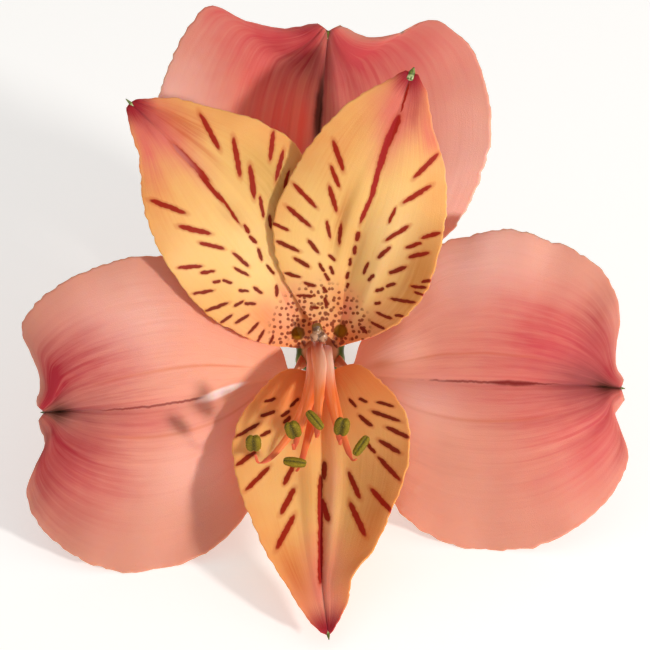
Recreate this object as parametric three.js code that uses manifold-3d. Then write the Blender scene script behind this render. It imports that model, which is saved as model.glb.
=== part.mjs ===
// One alstroemeria bloom, picked with its own stalk and laid on a table, face up at a slant.
// Millimetres, +Z up. The table top is Z = 0, and the bloom looks towards -Y and upwards.
//
// The bloom is drawn in a frame of its own: U to its right, V to its top and W out of its face,
// with W = 0 near the front of the petals. Its six petals (tepals) stand on the rim of a green
// ribbed ovary: three broad outer ones, and three narrower inner ones in front of them.
import * as THREE from "three";
import { mergeVertices } from "three/addons/utils/BufferGeometryUtils.js";
import Module from "manifold-3d";

const wasm = await Module();
wasm.setup();

// Driving sizes. The origin lies on the table, below the middle of the whole flower.
const HEART = [-0.56, -25.18, 22.6]; // the middle of the face
const FACE_TILT = 38; // degrees between the table and the line from the ovary through the heart
const OVARY_TOP = -25; // W of the rim that carries petals and stamens
const SEAT_GAP = 0.3; // between a foot and what it stands on

const FOOT_RADIUS = { outer: 2.35, inner: 2 }; // of the two rings of petal feet
const FOOT_HALF_WIDTH = 0.78;
const CLAW_SHARE = 0.22; // share of a petal's length that is its narrow claw
const BLADE_THICKNESS = 0.62;
const GREEN_POINT = { length: 1.5, radius: 0.42 }; // at the end of a petal

const STAMEN_RING = 1.05; // radius of the ring of filament feet
const FILAMENT_RADIUS = { foot: 0.3, middle: 0.4, end: 0.3 };
const ANTHER = { length: 2.9, breadth: 2, thickness: 1.15 };
const STYLE_RADIUS = 0.3;
const STYLE_TOP = [-0.2, 1.9, -8.8];
const STIGMA = { spread: 0.75, radius: 0.3 };

const OVARY = { length: 8, rim: 3, belly: 3.2, ribs: 6, ribDepth: 0.22 };
const STALK = { radius: 1.25, sides: 12, end: 78 }; // end: how far behind the heart it is cut
const STALK_SINK = 0.06; // depth of the flat that the stalk lies on

const ROWS = 20; // steps along a petal
const COLUMNS = 12; // steps across it

const radians = THREE.MathUtils.degToRad;
const colours = {
  outer: new THREE.MeshStandardMaterial({ color: 0xe08b80, roughness: 0.55, metalness: 0 }),
  inner: new THREE.MeshStandardMaterial({ color: 0xeba763, roughness: 0.5, metalness: 0 }),
  filament: new THREE.MeshStandardMaterial({ color: 0xe5744d, roughness: 0.45, metalness: 0 }),
  anther: new THREE.MeshStandardMaterial({ color: 0x67691c, roughness: 0.8, metalness: 0 }),
  pistil: new THREE.MeshStandardMaterial({ color: 0xe9b9a0, roughness: 0.5, metalness: 0 }),
  stalk: new THREE.MeshStandardMaterial({ color: 0x6d8c45, roughness: 0.5, metalness: 0 }),
};

const flower = new THREE.Group();
const bloom = new THREE.Group();
bloom.position.set(...HEART);
bloom.rotation.x = radians(90 - FACE_TILT);
flower.add(bloom);
flower.updateMatrixWorld(true);

// Solids ---------------------------------------------------------------------

function geometryOf(points, triangles) {
  const geometry = new THREE.BufferGeometry();
  const numbers = points.flatMap((point) => point.toArray());
  geometry.setAttribute("position", new THREE.Float32BufferAttribute(numbers, 3));
  geometry.setIndex(triangles.flat());
  return geometry;
}

function solidOf(geometry) {
  const bare = geometry.clone();
  bare.deleteAttribute("normal");
  bare.deleteAttribute("uv");
  const merged = mergeVertices(bare, 1e-4);
  return new wasm.Manifold(
    new wasm.Mesh({
      numProp: 3,
      vertProperties: merged.attributes.position.array,
      triVerts: new Uint32Array(merged.index.array),
    }),
  );
}

function geometryOfSolid(solid) {
  const { vertProperties, triVerts, numProp } = solid.getMesh();
  const geometry = new THREE.BufferGeometry();
  const positions = new Float32Array((vertProperties.length / numProp) * 3);
  for (let i = 0; i < positions.length / 3; i++) {
    positions.set(vertProperties.subarray(i * numProp, i * numProp + 3), i * 3);
  }
  geometry.setAttribute("position", new THREE.BufferAttribute(positions, 3));
  geometry.setIndex(new THREE.BufferAttribute(new Uint32Array(triVerts), 1));
  return geometry;
}

function addPiece(parent, name, geometry, material) {
  geometry.computeVertexNormals();
  const piece = new THREE.Mesh(geometry, material);
  piece.name = name;
  parent.add(piece);
}

// What lies under the table top, in the frame of the group that a piece belongs to.
function underTable(group) {
  const [wide, deep] = [400, 50];
  const slab = new THREE.BoxGeometry(wide, wide, deep);
  slab.translate(0, 0, -deep / 2);
  return solidOf(slab.applyMatrix4(group.matrixWorld.clone().invert()));
}

// A closed skin through rings of points, with a fan of triangles over each end.
function loft(rings) {
  const sides = rings[0].length;
  const middle = (ring) => ring.reduce((sum, p) => sum.add(p), new THREE.Vector3()).divideScalar(sides);
  const points = [...rings.flat(), middle(rings[0]), middle(rings.at(-1))];
  const start = points.length - 2;
  const end = points.length - 1;
  const last = (rings.length - 1) * sides;
  const triangles = [];
  for (let j = 0; j < sides; j++) {
    const k = (j + 1) % sides;
    for (let i = 0; i < rings.length - 1; i++) {
      const [a, b, c, d] = [i * sides + j, i * sides + k, (i + 1) * sides + k, (i + 1) * sides + j];
      triangles.push([a, b, c], [a, c, d]);
    }
    triangles.push([start, k, j], [end, last + j, last + k]);
  }
  return geometryOf(points, triangles);
}

// A round stem along a curve. reach(share, angle) is the distance from the curve to the skin.
function stem(curve, { steps, sides, reach, side, turn = 0, slant = 0 }) {
  const rings = [];
  for (let i = 0; i <= steps; i++) {
    const share = i / steps;
    const centre = curve.getPointAt(share);
    const along = curve.getTangentAt(share);
    const across = side.clone().addScaledVector(along, -side.dot(along)).normalize();
    const up = new THREE.Vector3().crossVectors(along, across);
    rings.push(
      Array.from({ length: sides }, (_, j) => {
        const angle = ((j + turn) / sides) * 2 * Math.PI;
        const out = reach(share, angle);
        const rise = out * Math.sin(angle);
        return centre
          .clone()
          .addScaledVector(across, out * Math.cos(angle))
          .addScaledVector(up, rise)
          .addScaledVector(along, i === steps ? slant * rise : 0);
      }),
    );
  }
  return loft(rings);
}

// Petals ---------------------------------------------------------------------

// A curve through points, read by share of its length. The claw is its first span.
function byShare(points) {
  const curve = new THREE.CatmullRomCurve3(points, false, "centripetal");
  const perSpan = 40;
  const samples = curve.getPoints(perSpan * (points.length - 1));
  const lengths = [0];
  for (let i = 1; i < samples.length; i++) {
    lengths.push(lengths[i - 1] + samples[i].distanceTo(samples[i - 1]));
  }
  const claw = lengths[perSpan];
  const whole = lengths.at(-1);
  return (share) => {
    const target =
      share <= CLAW_SHARE
        ? (share / CLAW_SHARE) * claw
        : claw + ((share - CLAW_SHARE) / (1 - CLAW_SHARE)) * (whole - claw);
    const i = Math.max(1, lengths.findIndex((length) => length >= target - 1e-9));
    const part = (target - lengths[i - 1]) / (lengths[i] - lengths[i - 1]);
    return samples[i - 1].clone().lerp(samples[i], THREE.MathUtils.clamp(part, 0, 1));
  };
}

// The foot of a petal on the ovary's rim, at a bearing round the bloom.
function footOf(bearing, radius) {
  const angle = radians(bearing);
  const out = new THREE.Vector3(Math.cos(angle), Math.sin(angle), 0);
  const rightward = new THREE.Vector3(out.y, -out.x, 0);
  const rib = out.multiplyScalar(radius).setZ(OVARY_TOP + SEAT_GAP);
  return {
    rib,
    left: rib.clone().addScaledVector(rightward, -FOOT_HALF_WIDTH),
    right: rib.clone().addScaledVector(rightward, FOOT_HALF_WIDTH),
  };
}

// The middle of the blade at share s of its length and t across it, -1 at the left edge.
// crease: 1 folds it sharply along its rib, 0 curves it softly. arch: how far each half bulges.
function bladeOf({ whorl, bearing, rib, left, right, crease, arch, ruffle, ridges = 0 }) {
  const foot = footOf(bearing, FOOT_RADIUS[whorl]);
  const line = (name, points) => byShare([foot[name], ...points.map((p) => new THREE.Vector3(...p))]);
  const [ribAt, leftAt, rightAt] = [line("rib", rib), line("left", left), line("right", right)];
  return (s, t) => {
    const middle = ribAt(s);
    const edge = (t < 0 ? leftAt : rightAt)(s);
    const out = Math.abs(t);
    const blade = THREE.MathUtils.smoothstep(s, CLAW_SHARE, CLAW_SHARE + 0.2);
    const fade = blade * (1 - THREE.MathUtils.smoothstep(s, 0.85, 1));
    const softened = (1 - crease) * (edge.z - middle.z) * (out * out - out);
    const bulge = arch * 4 * out * (1 - out) * blade;
    const wave = Math.sin(2 * Math.PI * ruffle.waves * s + ruffle.start + (t < 0 ? 2 : 0));
    const ridge = Math.exp(-(((out - 0.3) / 0.13) ** 2));
    const point = middle.clone().lerp(edge, out);
    point.z += softened + bulge + (ruffle.height * out ** 3 * wave + ridges * ridge) * fade;
    return point;
  };
}

// A blade of even thickness round its middle, split into triangles alike on both faces.
function bladeShell(at) {
  const faces = [[], []];
  const step = 1e-3;
  for (let i = 0; i <= ROWS; i++) {
    for (let j = 0; j <= COLUMNS; j++) {
      const [s, t] = [i / ROWS, (2 * j) / COLUMNS - 1];
      const along = at(Math.min(s + step, 1), t).sub(at(Math.max(s - step, 0), t));
      const across = at(s, Math.min(t + step, 1)).sub(at(s, Math.max(t - step, -1)));
      const normal = across.cross(along).normalize();
      faces[0].push(at(s, t).addScaledVector(normal, BLADE_THICKNESS / 2));
      faces[1].push(at(s, t).addScaledVector(normal, -BLADE_THICKNESS / 2));
    }
  }
  const width = COLUMNS + 1;
  const back = (ROWS + 1) * width;
  const triangles = [];
  const wall = (a, b) => triangles.push([a, back + a, back + b], [a, back + b, b]);
  for (let i = 0; i < ROWS; i++) {
    for (let j = 0; j < COLUMNS; j++) {
      const a = i * width + j;
      const [b, c, d] = [a + 1, a + width + 1, a + width];
      triangles.push([a, b, c], [a, c, d], [back + c, back + b, back + a], [back + d, back + c, back + a]);
    }
    wall((i + 1) * width, i * width);
    wall(i * width + COLUMNS, (i + 1) * width + COLUMNS);
  }
  for (let j = 0; j < COLUMNS; j++) {
    wall(j, j + 1);
    wall(ROWS * width + j + 1, ROWS * width + j);
  }
  return geometryOf([...faces[0], ...faces[1]], triangles);
}

// The hard green point in the notch at a petal's end.
function greenPoint(at, lift) {
  const root = at(0.985, 0);
  const direction = at(1, 0).sub(at(0.96, 0)).normalize();
  direction.z += lift;
  direction.normalize();
  const cone = new THREE.ConeGeometry(GREEN_POINT.radius, GREEN_POINT.length, 8);
  cone.translate(0, GREEN_POINT.length / 2, 0);
  cone.applyQuaternion(new THREE.Quaternion().setFromUnitVectors(new THREE.Vector3(0, 1, 0), direction));
  cone.translate(...root.toArray());
  return cone;
}

const petals = {
  outer_petal_left: {
    whorl: "outer", bearing: 210,
    rib: [[-4.3, -3, -12.8], [-7.9, -3.8, -9.2], [-12.7, -5.2, -6], [-19.3, -6.4, -3.2],
      [-25.9, -7, -1.8], [-30.1, -7.1, -2.2], [-33.3, -7.3, -3.6]],
    left: [[-4.5, -4.1, -12.4], [-5.6, -7.2, -9.6], [-6.9, -12.5, -7], [-8.8, -19.4, -4.8],
      [-12.7, -23.5, -3.4], [-17.5, -25.9, -3.1], [-22.3, -26.6, -2.9], [-26.5, -25.9, -2.7],
      [-31.1, -23.6, -2.4], [-34.3, -20.2, -2.2], [-35.4, -16.9, -2.2], [-34.3, -14, -2],
      [-33.1, -11.3, -2], [-34, -8.3, -2.8]],
    right: [[-3.9, -2.2, -12.8], [-4.8, 0.4, -11.6], [-7.9, 3.9, -10], [-11.9, 8.2, -7.6],
      [-15.7, 10.9, -5.8], [-20.5, 11.6, -4], [-25.9, 10.6, -2.4], [-31.1, 8.3, -2], [-34.4, 5.6, -2.2],
      [-36, 2.9, -2.4], [-34.9, 0, -2.2], [-33.7, -3.1, -2.2], [-34.2, -6.4, -2.8]],
    crease: 0.25, arch: 0.9, ruffle: { height: 0.45, waves: 4, start: 0.6 },
  },
  outer_petal_right: {
    whorl: "outer", bearing: 330,
    rib: [[4.4, -2.6, -13], [7.3, -3, -9.8], [12.1, -3.4, -6.8], [18.7, -3.6, -4.2], [25.3, -3.8, -2.8],
      [31.4, -4, -3.2], [36.4, -4.4, -4.6]],
    left: [[4.1, -1.5, -12.8], [5, 1.2, -11.8], [7.3, 4.3, -10], [10.7, 8.7, -7.6], [14.9, 13.2, -5.4],
      [18.7, 14.2, -4], [22.5, 14.8, -3], [27.1, 13.6, -2.8], [31.6, 11.8, -2.8], [34.7, 8.9, -3],
      [36.2, 4.8, -3.2], [35.7, 0.8, -3], [35.7, -1.7, -3], [36.7, -3.3, -3.6]],
    right: [[4.7, -3.8, -12.6], [5.8, -6.9, -10], [7.3, -12.2, -8.2], [9.3, -19, -6.6],
      [13.3, -22.2, -6], [17.9, -23.9, -5.8], [23, -24.1, -5.6], [27.8, -23, -5], [32.4, -20.2, -4.4],
      [35.6, -16.8, -4], [37.2, -12.8, -3.6], [36.2, -9.5, -3.2], [35.5, -7.7, -3.2], [36.8, -5.8, -3.8]],
    crease: 0.25, arch: 0.9, ruffle: { height: 0.45, waves: 4, start: 2.4 },
  },
  outer_petal_top: {
    whorl: "outer", bearing: 90,
    rib: [[-0.1, 3.3, -15.5], [-0.3, 6.5, -13.9], [-0.4, 13.7, -13.2], [-0.4, 21, -13],
      [-0.1, 28.3, -12.6], [0.4, 33.9, -11.8], [1, 39.1, -10]],
    left: [[-1.4, 3, -14.6], [-5.5, 6.3, -13.2], [-10.8, 12.2, -11.6], [-15.8, 17.9, -10.8],
      [-18.9, 24.6, -10.2], [-19.8, 30, -9.6], [-18.6, 34.6, -9.2], [-16.5, 38.8, -9],
      [-13.5, 42.1, -9], [-9.3, 40.4, -9], [-4.2, 39.4, -9.2], [-0.4, 40.1, -9.6]],
    right: [[1.1, 3, -14.6], [4.9, 6.3, -13.2], [10.4, 10.6, -11.2], [15.5, 14, -10.2],
      [18.9, 19.4, -9.6], [20.7, 25.8, -9], [20.3, 32.1, -8.6], [18.2, 37.3, -8.6], [13.6, 40.4, -8.8],
      [9.8, 38.8, -9], [6, 38.3, -9.2], [2.4, 39.8, -9.6]],
    crease: 0.9, arch: 0.9, ruffle: { height: 0.45, waves: 3.5, start: 1.2 },
  },
  inner_petal_upper_left: {
    whorl: "inner", bearing: 150,
    rib: [[-2.5, 1.8, -13], [-3.7, 4.8, -9.2], [-5.6, 8.9, -6], [-8, 13.1, -3.4], [-11.8, 17.7, -1.6],
      [-16.2, 23.1, -0.4], [-20.2, 27.4, 0.2], [-22.8, 29.9, 0.2]],
    left: [[-3.7, 0.5, -11], [-6.3, 0.8, -8], [-9.7, 2.1, -5.2], [-13.9, 4.8, -2.8], [-17.6, 9.3, -1],
      [-20, 13.7, -0.3], [-21.3, 18.3, -0.2], [-21.8, 23.6, 0], [-22.8, 26.9, 0.2], [-23.3, 29.2, 0.4]],
    right: [[-1.5, 1.9, -11.5], [-1.3, 6.3, -9.3], [-1, 10.9, -8], [-0.5, 15.7, -6.9], [-1, 20.8, -5.7],
      [-2.7, 24.7, -4.6], [-7, 27.6, -3], [-12.6, 29.3, -1.2], [-18.2, 30.5, 0], [-22.1, 30.3, 0.4]],
    crease: 0.5, arch: 0.2, ruffle: { height: 0.25, waves: 3, start: 0 },
  },
  inner_petal_upper_right: {
    whorl: "inner", bearing: 30,
    rib: [[2.2, 2.3, -13], [2.8, 5.3, -8.8], [3.1, 8.7, -5.4], [4, 13, -2.6], [5.8, 18.5, -0.4],
      [7.7, 24.4, 0.9], [9.6, 29.6, 1.6], [11, 33.4, 1.8]],
    left: [[1, 1.8, -11.5], [-1.1, 3.7, -9.2], [-3.2, 6.9, -6.8], [-5.3, 11.3, -3.7], [-5.5, 16.5, -1.5],
      [-3.5, 21.1, -0.6], [-0.4, 26, 0.6], [3.8, 30.1, 1.4], [8.2, 32.6, 1.8], [10.3, 33.7, 2]],
    right: [[3.4, 0.9, -11], [6.6, 1.9, -6.8], [9.9, 3.8, -2.8], [12.7, 7.3, 0.2], [14.4, 12, 0.4],
      [15.2, 17.6, -0.2], [14.9, 22.4, 0.4], [13.5, 27.2, 1.2], [12.9, 30.5, 1.7], [11.8, 33.2, 2]],
    crease: 0.5, arch: 0.2, ruffle: { height: 0.25, waves: 3, start: 2.6 },
  },
  inner_petal_lower: {
    whorl: "inner", bearing: 270,
    rib: [[0.1, -2.8, -13], [0.1, -5.7, -9.2], [0.1, -9.5, -5.8], [0.2, -14.2, -3], [0.2, -19.5, 0.2],
      [0.1, -24.8, 3.5], [0.4, -29.4, 6.6], [1, -33.5, 9]],
    left: [[1.7, -2.3, -11.4], [4.5, -1.5, -8.6], [8, -4.2, -5], [10.3, -7.3, -2.7], [10.8, -11, -0.5],
      [10.2, -14.9, 2], [8.6, -18.8, 4.3], [6.5, -23.4, 6.5], [4, -26.4, 7.9], [3.2, -29.9, 8.9],
      [1.5, -33, 9.4]],
    right: [[-1.4, -2.5, -11.4], [-4, -2.1, -8.6], [-7.5, -5, -4.8], [-9.9, -8.5, -2.3],
      [-10.5, -12, -0.2], [-9.8, -15.6, 2.1], [-8.4, -19.6, 4.2], [-6.2, -24.1, 6.3], [-3.5, -28.4, 7.9],
      [-1.6, -31.3, 8.9], [0.1, -33.1, 9.4]],
    crease: 0.8, arch: 0, ruffle: { height: 0.2, waves: 3, start: 1 }, ridges: 0.7,
  },
};

// The lobes that the flower rests on are flat where they meet the table.
function addPetal(name, shape) {
  const at = bladeOf(shape);
  const lift = shape.whorl === "outer" ? -0.4 : 0.3;
  const solid = solidOf(bladeShell(at)).add(solidOf(greenPoint(at, lift))).subtract(underTable(bloom));
  addPiece(bloom, name, geometryOfSolid(solid), colours[shape.whorl]);
}

// Stamens --------------------------------------------------------------------

// route: from the ovary to the anther's seat. anther: its middle. long and broad: its axes.
const stamens = [
  { bearing: 210, route: [[-1, -0.9, -18], [-1.15, -1.1, -13], [-1.4, -3.6, -6], [-2.2, -7, -1],
      [-4, -10.4, 2], [-6.2, -12.8, 3.6], [-7.3, -13.2, 4.2], [-7.7, -12.2, 4.9]],
    anther: [-7.9, -10.8, 6], long: [0, 0.58, 0.81], broad: [1, 0.05, 0] },
  { bearing: 150, route: [[-1.2, 0.3, -18], [-1.3, 0, -13], [-1, -2.9, -5], [-1.7, -6.6, 0.6],
      [-2.6, -9.8, 3.8], [-3.1, -11.6, 5], [-3.2, -10.9, 5.9]],
    anther: [-3.2, -9.2, 6.4], long: [-0.25, 0.6, 0.76], broad: [0.95, 0.3, 0] },
  { bearing: 90, route: [[-0.55, 1, -18], [-0.5, 0.55, -13], [-0.05, -2.2, -4], [-0.2, -6, 2],
      [-0.3, -8.8, 5.4], [-0.4, -10.1, 6.9], [-0.1, -9.5, 7.9]],
    anther: [-0.6, -8, 8.6], long: [0.65, -0.76, 0], broad: [0, 0.1, 1] },
  { bearing: 30, route: [[1.2, 0.15, -18], [1, 0.3, -13], [1.1, -2.9, -5], [1.7, -6.6, 0.4],
      [2.2, -9.6, 4], [2.4, -11, 5.6], [2.5, -10.3, 6.4]],
    anther: [2.6, -8.8, 7.4], long: [0.15, 0.66, 0.74], broad: [0.95, 0.1, 0.3] },
  { bearing: 330, route: [[1.05, -0.8, -18], [1.15, -0.8, -13], [1.5, -3.8, -6], [2.2, -7.4, -1],
      [2.9, -10.4, 2.2], [3.9, -12.9, 4.2], [4.3, -12.7, 5.2]],
    anther: [4.9, -11.1, 6.1], long: [0.58, 0.82, 0], broad: [0, 0.1, 1] },
  { bearing: 270, route: [[0, -1.2, -18], [0, -1.35, -13], [-0.1, -4.5, -7], [-0.9, -8, -2.4],
      [-1.7, -11.2, 0.8], [-2.4, -13.6, 2.8], [-2.8, -14.2, 3.7]],
    anther: [-3, -13.1, 4.7], long: [0.99, -0.13, 0], broad: [0, 0.1, 1] },
];

function filament({ bearing, route }) {
  const angle = radians(bearing);
  const foot = [STAMEN_RING * Math.cos(angle), STAMEN_RING * Math.sin(angle), OVARY_TOP + SEAT_GAP];
  const points = [foot, ...route].map((point) => new THREE.Vector3(...point));
  const curve = new THREE.CatmullRomCurve3(points, false, "centripetal");
  const { foot: low, middle, end } = FILAMENT_RADIUS;
  const thickest = 0.6; // share of the length
  const reach = (share) =>
    share < thickest
      ? THREE.MathUtils.mapLinear(share, 0, thickest, low, middle)
      : THREE.MathUtils.mapLinear(share, thickest, 1, middle, end);
  return stem(curve, { steps: 18, sides: 7, reach, side: new THREE.Vector3(1, 0, 0) });
}

function anther({ anther: middle, long, broad }) {
  const lengthwise = new THREE.Vector3(...long).normalize();
  const sideways = new THREE.Vector3(...broad);
  sideways.addScaledVector(lengthwise, -sideways.dot(lengthwise)).normalize();
  const through = new THREE.Vector3().crossVectors(sideways, lengthwise);
  const lobe = (sign) => {
    const ball = new THREE.SphereGeometry(0.5, 8, 7);
    ball.scale(ANTHER.breadth * 0.56, ANTHER.length, ANTHER.thickness);
    ball.translate(sign * ANTHER.breadth * 0.22, 0, 0);
    ball.applyMatrix4(new THREE.Matrix4().makeBasis(sideways, lengthwise, through));
    ball.translate(...middle);
    return solidOf(ball);
  };
  return lobe(-1).add(lobe(1));
}

// Pistil ---------------------------------------------------------------------

// The style rises between two filaments and ends in a stigma of three short lobes.
function pistil() {
  const top = new THREE.Vector3(...STYLE_TOP);
  const curve = new THREE.CatmullRomCurve3([
    new THREE.Vector3(0, 0, OVARY_TOP + SEAT_GAP),
    new THREE.Vector3(0.38, 0.9, -18),
    new THREE.Vector3(0.1, 1.5, -13),
    top,
  ]);
  const side = new THREE.Vector3(1, 0, 0);
  let solid = solidOf(stem(curve, { steps: 8, sides: 7, reach: () => STYLE_RADIUS, side }));
  for (const bearing of [90, 210, 330]) {
    const angle = radians(bearing);
    const out = new THREE.Vector3(Math.cos(angle), Math.sin(angle), 0);
    const at = (distance, height) => top.clone().addScaledVector(out, distance).setZ(top.z + height);
    const { spread, radius } = STIGMA;
    const lobe = new THREE.CatmullRomCurve3([at(0, -0.5), at(spread / 2, 0.6), at(spread, 0.8)]);
    const reach = (share) => radius * (1 - share / 3);
    const oblique = new THREE.Vector3(0.3, 0.2, 1);
    solid = solid.add(solidOf(stem(lobe, { steps: 3, sides: 6, reach, side: oblique })));
  }
  return solid;
}

// Stalk and ovary ------------------------------------------------------------

// How far the ovary's skin lies from its axis. part: share of the ovary's length, from its rim.
function ovaryReach(part, angle) {
  const swell = OVARY.rim + (OVARY.belly - OVARY.rim) * Math.sin(Math.PI * Math.min(part / 0.6, 1));
  const narrowing = 1 - THREE.MathUtils.smoothstep(part, 0.3, 1.15);
  const rib = OVARY.ribDepth * Math.cos(OVARY.ribs * (angle - Math.PI / 2)) * narrowing;
  return swell * narrowing + rib;
}

function stalkWithOvary() {
  const [x, y, z] = HEART;
  const back = new THREE.Vector3(0, Math.cos(radians(FACE_TILT)), -Math.sin(radians(FACE_TILT)));
  const top = new THREE.Vector3(x, y, z).addScaledVector(back, -OVARY_TOP);
  const lying = STALK.radius - STALK_SINK;
  const curve = new THREE.CatmullRomCurve3(
    [
      top,
      top.clone().addScaledVector(back, 3.2),
      new THREE.Vector3(x, top.y + 6, top.z - 3.7),
      new THREE.Vector3(x, top.y + 10, top.z - 5),
      new THREE.Vector3(x + 0.1, top.y + 17, lying),
      new THREE.Vector3(x + 0.6, top.y + 32, lying),
      new THREE.Vector3(x + 2, top.y + 47, lying),
      new THREE.Vector3(x + 3.2, y + STALK.end, lying),
    ],
    false,
    "centripetal",
  );
  const ovaryShare = OVARY.length / curve.getLength();
  const corner = STALK.radius / Math.cos(Math.PI / STALK.sides);
  const reach = (share, angle) => Math.max(ovaryReach(Math.min(share / ovaryShare, 1.15), angle), corner);
  const side = new THREE.Vector3(1, 0, 0);
  const skin = stem(curve, { steps: 44, sides: STALK.sides, reach, side, turn: 0.5, slant: 0.7 });
  return solidOf(skin).subtract(underTable(flower));
}

// The whole flower -----------------------------------------------------------

for (const [name, shape] of Object.entries(petals)) addPetal(name, shape);
stamens.forEach((shape, i) => {
  addPiece(bloom, `filament_${i + 1}`, filament(shape), colours.filament);
  addPiece(bloom, `anther_${i + 1}`, geometryOfSolid(anther(shape)), colours.anther);
});
addPiece(bloom, "pistil", geometryOfSolid(pistil()), colours.pistil);
addPiece(flower, "stalk_with_ovary", geometryOfSolid(stalkWithOvary()), colours.stalk);

export default flower;
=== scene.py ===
import math

import bmesh
import bpy
from bpy.props import FloatProperty, FloatVectorProperty, IntProperty, PointerProperty
from mathutils import Matrix, Vector


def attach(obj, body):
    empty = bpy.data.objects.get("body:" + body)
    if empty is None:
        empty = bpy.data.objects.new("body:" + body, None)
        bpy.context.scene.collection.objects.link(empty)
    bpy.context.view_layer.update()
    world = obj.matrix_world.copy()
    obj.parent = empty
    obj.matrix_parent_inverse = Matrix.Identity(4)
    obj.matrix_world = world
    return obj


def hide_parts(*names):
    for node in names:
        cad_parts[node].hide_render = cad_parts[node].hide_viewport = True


bl_info = {
    "name": "Alstroemeria Bloom",
    "version": (1, 0, 0),
    "blender": (4, 5, 0),
    "location": "View3D > Sidebar > Bloom",
    "description": "Petals, stamens, pistil and cut stalk of one alstroemeria bloom on a pale floor",
    "category": "Object",
}

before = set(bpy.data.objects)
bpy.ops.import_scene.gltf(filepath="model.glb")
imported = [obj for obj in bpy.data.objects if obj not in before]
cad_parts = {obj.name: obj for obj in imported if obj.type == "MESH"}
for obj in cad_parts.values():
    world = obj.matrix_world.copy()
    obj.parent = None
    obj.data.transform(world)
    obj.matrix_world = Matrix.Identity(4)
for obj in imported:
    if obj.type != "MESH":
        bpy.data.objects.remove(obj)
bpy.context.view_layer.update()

MM = 0.001

# The bloom's own frame: U to its right, V to its top and W out of its face.
HEART = Vector((-0.56, -25.18, 22.6)) * MM  # the middle of the face, in the row frame
FACE_TILT = 38  # degrees between the table and the line from the ovary through the heart
FACE_TURN = (math.radians(90 - FACE_TILT), 0, 0)
TO_ROW = Matrix.Translation(HEART) @ Matrix.Rotation(FACE_TURN[0], 4, "X")

OVARY_TOP = -25  # W of the rim that carries petals and stamens, in millimetres
SEAT = OVARY_TOP + 0.3  # W of the foot of each of them
FOOT_RADIUS = {"outer": 2.35, "inner": 2}
FOOT_HALF_WIDTH = 0.78
CLAW_SHARE = 0.22  # share of a petal's length that is its narrow claw
STAMEN_RING = 1.05
STYLE_TOP = (-0.2, 1.9, -8.8)
STYLE_ROUTE = [(0, 0, SEAT), (0.38, 0.9, -18), (0.1, 1.5, -13), STYLE_TOP]
STYLE = {"radius": 0.3, "widening": 0.1}
OVARY = {"length": 8, "rim": 3, "belly": 3.2, "ribs": 6, "rib_depth": 0.22}
STALK = {"radius": 1.25, "end": 78, "sink": 0.06, "slant": 0.7}

CAMERA_DISTANCE = 600  # millimetres in front of the face
CAMERA_AIM = (0.6, 3.24)  # U and V of the middle of the view
VIEW_WIDTH = 78  # at the face
SENSOR_WIDTH = 36
KEY_DIRECTION = (0.68, -0.17, 0.71)  # from the heart to the main light
KEY_TINT = (1, 0.985, 0.95)
DOME_TINT = (1, 0.99, 0.975, 1)
FLOOR_DROP = 0.05 * MM  # keeps the floor just below whatever lies on it
FLOOR_FLECK = (0.6, 0.6, 0.6)
SOFT_SIDE = (0.3, 0.2, 1)  # starts a small stem's cross-section clear of all its directions


def colour(name, description, shade):
    """A colour that a user may change. shade is red, green and blue from 0 to 255, as displayed."""
    parts = [part / 255 for part in shade]
    linear = [p / 12.92 if p <= 0.04045 else ((p + 0.055) / 1.055) ** 2.4 for p in parts]
    return FloatVectorProperty(
        name=name, description=description, default=linear, subtype="COLOR", min=0, max=1
    )


def amount(name, description, default, **more):
    return FloatProperty(name=name, description=description, default=default, min=0, **more)


def size(name, description, millimetres):
    """A length that a user may change, kept in metres."""
    return amount(name, description, millimetres * MM, subtype="DISTANCE", unit="LENGTH", precision=5)


class PetalSettings(bpy.types.PropertyGroup):
    rows: IntProperty(name="Rows", description="Steps along a petal", default=150, min=20)
    columns: IntProperty(name="Columns", description="Steps across a petal", default=100, min=12)
    rib_thickness: size("Rib thickness", "Thickness of a petal along its rib", 0.5)
    margin_thickness: size("Margin thickness", "Thickness of a petal near its margin", 0.26)
    vein_relief: size("Vein relief", "How far the veins stand out of the blade", 0.07)
    nibble: size("Nibbled margin", "How uneven the margin is", 0.5)
    cockle: size("Cockle", "How far the blade swells and dips", 0.25)


class OuterColours(bpy.types.PropertyGroup):
    salmon: colour("Salmon", "Main colour of the outer petals", (224, 158, 135))
    pale: colour("Pale lobes", "The rounded lobes towards the margin", (208, 148, 127))
    peach: colour("Peach", "The blade near its claw", (240, 169, 138))
    rose: colour("Rose", "Along the rib, towards the end", (206, 84, 88))
    crimson: colour("Crimson", "The two fans beside the green point", (166, 42, 54))
    mauve: colour("Mauve", "Between the two fans", (160, 76, 76))
    maroon: colour("Maroon", "Right round the green point", (64, 28, 12))
    rib_line: colour("Rib line", "The thin dark line along the rib", (136, 30, 28))
    vein: colour("Veins", "The fine lines along the blade", (190, 86, 78))
    side_vein: colour("Side veins", "The two faint lines beside the rib", (208, 120, 78))
    throat: colour("Throat", "The narrow claw", (214, 126, 84))
    # Painted highlight: the palest streaks and patches, where the light falls brightest.
    flare: colour("Flare", "The palest streaks", (255, 224, 214))
    # Painted light: warm light that shines through the inner petals into the shade behind them.
    glow: colour("Glow", "The warm depth behind the inner petals", (255, 112, 92))


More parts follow.
